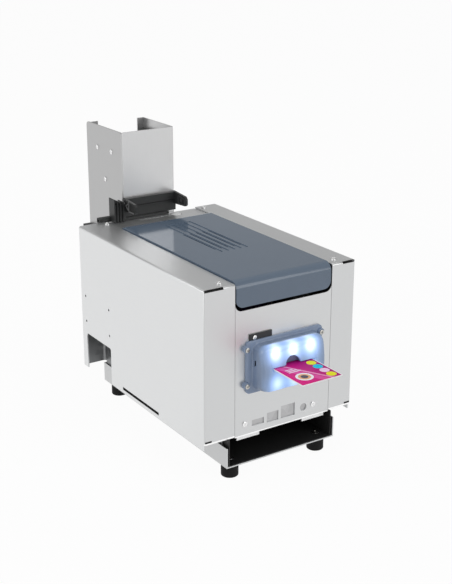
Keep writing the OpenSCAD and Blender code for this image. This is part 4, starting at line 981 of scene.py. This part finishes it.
class CARDPRINTER_OT_card(Operator):
    """Print the card with a plain sample of discs, bars and a shaded field"""

    bl_idname = "card_printer.card"
    bl_label = "Sample Card"

    def execute(self, context):
        look = context.scene.card_printer_card
        low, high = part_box("id_card")
        s = Shader("Card_Print")
        x, y, z = s.xyz()
        across = x - low[0]
        along = y - low[1]
        width, length = high[0] - low[0], high[1] - low[1]
        fibre = s.noise((700, 700, 700), detail=2)
        shade = (across / width * 0.9 + along / length * 0.5).ramp(0.1, 1.15)
        image = s.mix(shade, tuple(look.field), tuple(look.shade))
        for place, half, ink in ((0.034, 0.0045, (0.78, 0.09, 0.36)),
                                 (0.042, 0.0018, (0.86, 0.30, 0.55))):
            image = s.mix(band(across + along * 0.55, place, half), image, ink)
        pink = (0.95, 0.66, 0.86)
        tints = [tuple(look.yellow), pink, tuple(look.cyan), tuple(look.yellow)]
        for k, tint in enumerate(tints):
            image = s.mix(disc(across, along, width - 0.0085, 0.0095 + 0.0118 * k, 0.0056),
                          image, tint)
        for radius, ink in ((0.0098, (0.93, 0.93, 0.93)), (0.0070, (0.83, 0.45, 0.22)),
                            (0.0042, (0.10, 0.09, 0.12))):
            image = s.mix(disc(across, along, 0.0165, 0.0185, radius), image, ink)
        for k, bar in enumerate((0.016, 0.013, 0.010)):
            line = band(along, 0.0350 + 0.0034 * k, 0.0010) * across.between(0.008, 0.008 + bar)
            image = s.mix(line, image, (0.90, 0.72, 0.82))
        edge = across.math("MINIMUM", width - across).math(
            "MINIMUM", along).math("MINIMUM", length - along)
        image = s.mix(edge < 0.0011, image, (0.92, 0.90, 0.91))
        top = z > (high[2] - 0.0001)
        dress(s.principled(
            Base_Color=s.mix(top, (0.88, 0.88, 0.88), image),
            Roughness=fibre * 0.06 + 0.42,
            IOR=1.2), "id_card")
        return {"FINISHED"}


def band(value, centre, half):
    """1 where a value lies within half of a centre."""
    return value.between(centre - half, centre + half)


def disc(across, along, x, y, radius):
    """1 inside a circle."""
    dx, dy = across - x, along - y
    return (dx * dx + dy * dy) < radius ** 2


class CARDPRINTER_OT_screws(Operator):
    """Make the pan head screws, each with its cross recess"""

    bl_idname = "card_printer.screws"
    bl_label = "Screws"

    def execute(self, context):
        bright = machined("Bright_Plate", (0.86, 0.86, 0.86), 0.16, "Z")
        plain = machined("Plain_Plate", (0.55, 0.54, 0.51), 0.28, "Z")
        # node, way it points, height of the head, growth of its width, finish, slot
        groups = (
            ("casing_screws", "+Z", 0.0015, 1.15, bright, "bright_screw"),
            ("front_screws", "-Y", 0.0014, 1.1, bright, "bright_screw"),
            ("tab_screw", "-Y", 0.0013, 1.1, bright, "bright_screw"),
            ("bezel_screws", "-Y", 0.0016, 1.1, plain, "plain_screw"),
            ("hopper_screws", "-X", 0.0014, 1.3, bright, "plain_screw"),
        )
        for node, axis, head_h, grow, material, slot in groups:
            shapes = [screw_shape(box, axis, head_h, grow) for box in solid_boxes(node)]
            make_piece(node + "_turned", shapes, material, "machine", [node], sharp=40)
        dress(plain, "foot_screws", "motor_screws")
        return {"FINISHED"}


def screw_shape(box, axis, head_h, grow):
    """A pan head screw in a box: domed head, a little wider, cross recess, straight shank.

    The head is a polar grid whose height is a flat dome less the recess, which is deep where
    either of two crossed bars covers the point.
    """
    low, high = box
    i = "XYZ".index(axis[1])
    others = [k for k in range(3) if k != i]
    head_r = (high - low)[others[0]] / 2
    shank_r = head_r * 0.5
    head_r = head_r * grow
    length = (high - low)[i]
    centre = (low + high) / 2
    centre[i] = low[i] if axis[0] == "+" else high[i]
    reach = np.linspace(0, 1, 26)[:, None]
    turn = np.linspace(0, 2 * math.pi, 64, endpoint=False)
    x, y = reach * np.cos(turn), reach * np.sin(turn)
    dome = length - head_h * 0.55 * (1 - np.sqrt(np.clip(1 - 0.92 * reach ** 2, 0, 1)))
    half, end = 0.1, 0.5
    arm = np.maximum(step(half - abs(x), 0.06) * step(end - abs(y), 0.1),
                     step(half - abs(y), 0.06) * step(end - abs(x), 0.1))
    height = dome - 0.55 * head_h * arm
    head = np.stack([head_r * x, head_r * y, height], -1)
    skirt = turned([(head_r, length - head_h), (shank_r, length - head_h), (shank_r, 0), (0, 0)],
                   len(turn))
    return closed_surface(aimed(np.concatenate([head, skirt]), centre, axis))


class CARDPRINTER_OT_feet(Operator):
    """Make the rubber feet, turned with a soft edge and a screw pocket below"""

    bl_idname = "card_printer.feet"
    bl_label = "Rubber Feet"

    def execute(self, context):
        shapes = []
        for low, high in solid_boxes("rubber_feet"):
            radius, tall = (high - low)[0] / 2, (high - low)[2]
            pocket, edge = 0.0055, 0.0015
            profile = [(0, tall * 0.45), (pocket, tall * 0.45), (pocket, 0),
                       *arc((radius - edge, edge), edge, -90, 0),
                       (radius, tall * 0.75), (radius, tall), (0, tall)]
            centre = ((low[0] + high[0]) / 2, (low[1] + high[1]) / 2, low[2])
            shapes.append(closed_surface(aimed(turned(profile, 64), centre, "+Z")))
        make_piece("feet_turned", shapes, rubber("Foot_Rubber", (0.003, 0.003, 0.003)), "machine",
                   ["rubber_feet"])
        return {"FINISHED"}


class CARDPRINTER_OT_drive(Operator):
    """Dress the rollers, gears and motor, and make the toothed belt"""

    bl_idname = "card_printer.drive"
    bl_label = "Card Drive"

    def execute(self, context):
        roller = rubber("Roller_Rubber", (0.05, 0.05, 0.055))
        dress(roller, "platen_roller", "exit_roller", "transport_roller", "pinch_roller_exit",
              "pinch_roller_transport", "feed_roller")
        dress(machined("Turned_Brass", (0.78, 0.56, 0.26), 0.28, "X"), "motor_pinion")
        dress(machined("Sintered_Bronze", (0.55, 0.38, 0.22), 0.45, "X"), "roller_bushings")
        dress(machined("Motor_Can", (0.6, 0.6, 0.61), 0.3, "X"), "drive_motor")
        make_piece("belt_toothed", [belt_shape()], rubber("Belt_Rubber", (0.012, 0.012, 0.012)),
                   "machine", ["drive_belt"])
        return {"FINISHED"}


def belt_shape(pitch=0.0028):
    """A belt round two equal pulleys: a thin section carried along a stadium.

    The inner side steps in by a tooth over half of each pitch.
    """
    low, high = (np.array(c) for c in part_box("drive_belt"))
    radius = (high[2] - low[2]) / 2
    span = high[1] - low[1] - 2 * radius
    lap = 2 * span + 2 * math.pi * radius
    teeth = int(lap / pitch)
    along = np.linspace(0, lap, teeth * 8, endpoint=False)
    quarter = math.pi * radius
    bend = np.clip((along - span) / radius, 0, math.pi) + np.clip(
        (along - 2 * span - quarter) / radius, 0, math.pi)
    straight = np.minimum(along, span) - np.clip(along - span - quarter, 0, span)
    centre_y = low[1] + radius + straight
    centre_z = (low[2] + high[2]) / 2
    thick, tooth = 0.0008, 0.0005
    inside = thick + tooth * ((along * teeth / lap) % 1 < 0.5)
    rows = []
    for x, depth in ((low[0], 0), (high[0], 0), (high[0], inside), (low[0], inside)):
        r = radius - depth
        rows.append(np.stack([np.full(len(along), x), centre_y + r * np.sin(bend),
                              centre_z + r * np.cos(bend)], -1))
    grid = np.stack(rows, 1)
    return grid.reshape(-1, 3), outward(grid.reshape(-1, 3),
                                        grid_faces(len(along), 4, True, True))


class CARDPRINTER_OT_ribbon(Operator):
    """Dress the wound ribbon and its stretch under the print head"""

    bl_idname = "card_printer.ribbon"
    bl_label = "Ribbon"

    def execute(self, context):
        s = Shader("Ribbon_Film")
        panel = (s.xyz()[1] / 0.012).math("FRACT")
        inks = [(0.0, (0.75, 0.6, 0.02)), (0.25, (0.6, 0.02, 0.2)), (0.5, (0.02, 0.2, 0.5)),
                (0.75, (0.02, 0.02, 0.02))]
        tint = s.node("ValToRGB", {"stops": inks, "blend": "CONSTANT"}, [panel])
        crease = s.noise((60, 500, 60), detail=2)
        dress(s.principled(Base_Color=tint, Roughness=crease * 0.15 + 0.12, Coat_Weight=0.4,
                           Normal=s.bump(crease, 0.0001, 0.3)), "ribbon_film")
        wound = Shader("Ribbon_Wound")
        rings = wound.noise((9000, 40, 40), detail=1)
        layers = wound.noise((20, 2600, 2600), detail=1)
        dress(wound.principled(
            Base_Color=wound.mix(layers, (0.03, 0.006, 0.05), (0.09, 0.02, 0.12)),
            Roughness=rings * 0.2 + 0.2,
            Normal=wound.bump(layers, 0.00005, 0.4)),
            "ribbon_supply_roll", "ribbon_take_up_roll")
        return {"FINISHED"}


class CARDPRINTER_OT_boards(Operator):
    """Dress the circuit boards and what stands on them"""

    bl_idname = "card_printer.boards"
    bl_label = "Boards"

    def execute(self, context):
        dress(circuit_laminate("Green_Laminate", (0.012, 0.12, 0.06)), "control_board", "led_board")
        dress(moulded("Part_Moulding", (0.02, 0.02, 0.022), 0.4, 3000.0), "board_components")
        return {"FINISHED"}


class CARDPRINTER_OT_studio(Operator):
    """Set up the white floor, the soft lamps and the camera at the photograph's view"""

    bl_idname = "card_printer.studio"
    bl_label = "Studio"

    def execute(self, context):
        look = context.scene.card_printer_studio
        add_camera(context, look)
        add_world(context, look)
        add_floor(context)
        add_lamps(context, look)
        context.scene.view_settings.view_transform = "Standard"
        return {"FINISHED"}


def add_camera(context, look):
    """A camera at the photograph's place, turned and shifted to its frame."""
    data = bpy.data.cameras.new("Camera")
    data.lens = look.lens
    data.shift_x = 0.006
    data.shift_y = -0.0298
    data.clip_start = 0.05
    data.clip_end = 30
    camera = bpy.data.objects.new("Camera", data)
    camera.location = CAMERA_PLACE
    camera.rotation_euler = (math.pi / 2 - look.pitch, 0, -look.yaw)
    context.scene.collection.objects.link(camera)
    context.scene.camera = camera


def seen_directly(s):
    """Two masks: rays from the camera, and rays off a mirror or through clear matter."""
    rays = s.node("LightPath").socket.node.outputs
    camera, glossy, clear = (Signal(s, rays[k]) for k in (
        "Is Camera Ray", "Is Glossy Ray", "Is Transmission Ray"))
    return camera, glossy.math("MAXIMUM", clear)


def add_world(context, look):
    """White sweep up to the horizon's rim, a dim wall above it, and a bright front and ceiling."""
    world = bpy.data.worlds.new("Studio")
    context.scene.world = world
    s = Shader("Studio", world)
    camera, mirrored = seen_directly(s)
    way = s.node("SeparateXYZ", sockets=[s.node("TexCoord", out="Generated")]).socket.node.outputs
    ahead, height = 1 - Signal(s, way[1]).ramp(-0.9, -0.1), Signal(s, way[2])
    sweep = 1 - height.ramp(0.02, 0.30)
    white = camera.math("MAXIMUM", mirrored * sweep)
    room = (height.ramp(0.35, 0.8) * 0.3 + 0.9 + ahead * 0.7) * look.room
    level = white + (1 - white) * room
    s.finish(s.node("Background", sockets={"Color": (1, 1, 1, 1), "Strength": level}))


def add_floor(context):
    """A wide plane that shows white, dimmed a little by the object's shadow."""
    s = Shader("Floor")
    camera, mirrored = seen_directly(s)
    matt = s.node("BsdfDiffuse", sockets={"Color": (0.8, 0.8, 0.8, 1)})
    bright = s.node("Emission", sockets={"Color": (1, 1, 1, 1), "Strength": 1.0})
    share = camera.math("MAXIMUM", mirrored) * 0.95
    s.finish(s.node("MixShader", sockets=[share, matt, bright]))
    half = 6.0
    mesh = bpy.data.meshes.new("Floor")
    mesh.from_pydata([(-half, -half, 0), (half, -half, 0), (half, half, 0), (-half, half, 0)],
                     [], [(0, 1, 2, 3)])
    mesh.materials.append(s.owner)
    floor = bpy.data.objects.new("Floor", mesh)
    floor.location.z = -0.0002
    context.scene.collection.objects.link(floor)


def add_lamps(context, look):
    """Large soft lamps: one on the left, one in front, one above."""
    # name, power, side of the square, place
    lamps = (
        ("Key", look.key_power, 1.6, (-1.9, 0.1, 1.3)),
        ("Front", look.front_power, 1.2, (0.9, -2.1, 1.1)),
        ("Top", look.top_power, 1.4, (0.3, 0.3, 2.4)),
    )
    for name, power, size, place in lamps:
        data = bpy.data.lights.new(name, "AREA")
        data.energy = power
        data.size = size
        lamp = bpy.data.objects.new(name, data)
        lamp.location = place
        aim = Vector((0, 0, 0.15)) - lamp.location
        lamp.rotation_euler = aim.to_track_quat("-Z", "Y").to_euler()
        context.scene.collection.objects.link(lamp)


class CARDPRINTER_PT_pieces(Panel):
    """Buttons for each group of pieces, with their settings"""

    bl_label = "Card Printer"
    bl_space_type = "VIEW_3D"
    bl_region_type = "UI"
    bl_category = "Card Printer"

    def draw(self, context):
        for operator in OPERATORS:
            self.layout.operator(operator.bl_idname)
        for name, group in SETTINGS.items():
            box = self.layout.box()
            for key in group.__annotations__:
                box.prop(getattr(context.scene, name), key)


SETTINGS = {
    "card_printer_casing": CasingSettings,
    "card_printer_lid": LidSettings,
    "card_printer_bezel": BezelSettings,
    "card_printer_card": CardSettings,
    "card_printer_studio": StudioSettings,
}
OPERATORS = (
    CARDPRINTER_OT_studio,
    CARDPRINTER_OT_casing,
    CARDPRINTER_OT_mouldings,
    CARDPRINTER_OT_lid,
    CARDPRINTER_OT_bezel,
    CARDPRINTER_OT_card,
    CARDPRINTER_OT_screws,
    CARDPRINTER_OT_feet,
    CARDPRINTER_OT_drive,
    CARDPRINTER_OT_ribbon,
    CARDPRINTER_OT_boards,
)


def register():
    for group in SETTINGS.values():
        bpy.utils.register_class(group)
    for name, group in SETTINGS.items():
        setattr(bpy.types.Scene, name, PointerProperty(type=group))
    for operator in OPERATORS:
        bpy.utils.register_class(operator)
    bpy.utils.register_class(CARDPRINTER_PT_pieces)


def unregister():
    bpy.utils.unregister_class(CARDPRINTER_PT_pieces)
    for operator in reversed(OPERATORS):
        bpy.utils.unregister_class(operator)
    for name, group in SETTINGS.items():
        delattr(bpy.types.Scene, name)
        bpy.utils.unregister_class(group)


def main():
    register()
    for operator in OPERATORS:
        group, action = operator.bl_idname.split(".")
        getattr(getattr(bpy.ops, group), action)()


if __name__ == "__main__":
    main()
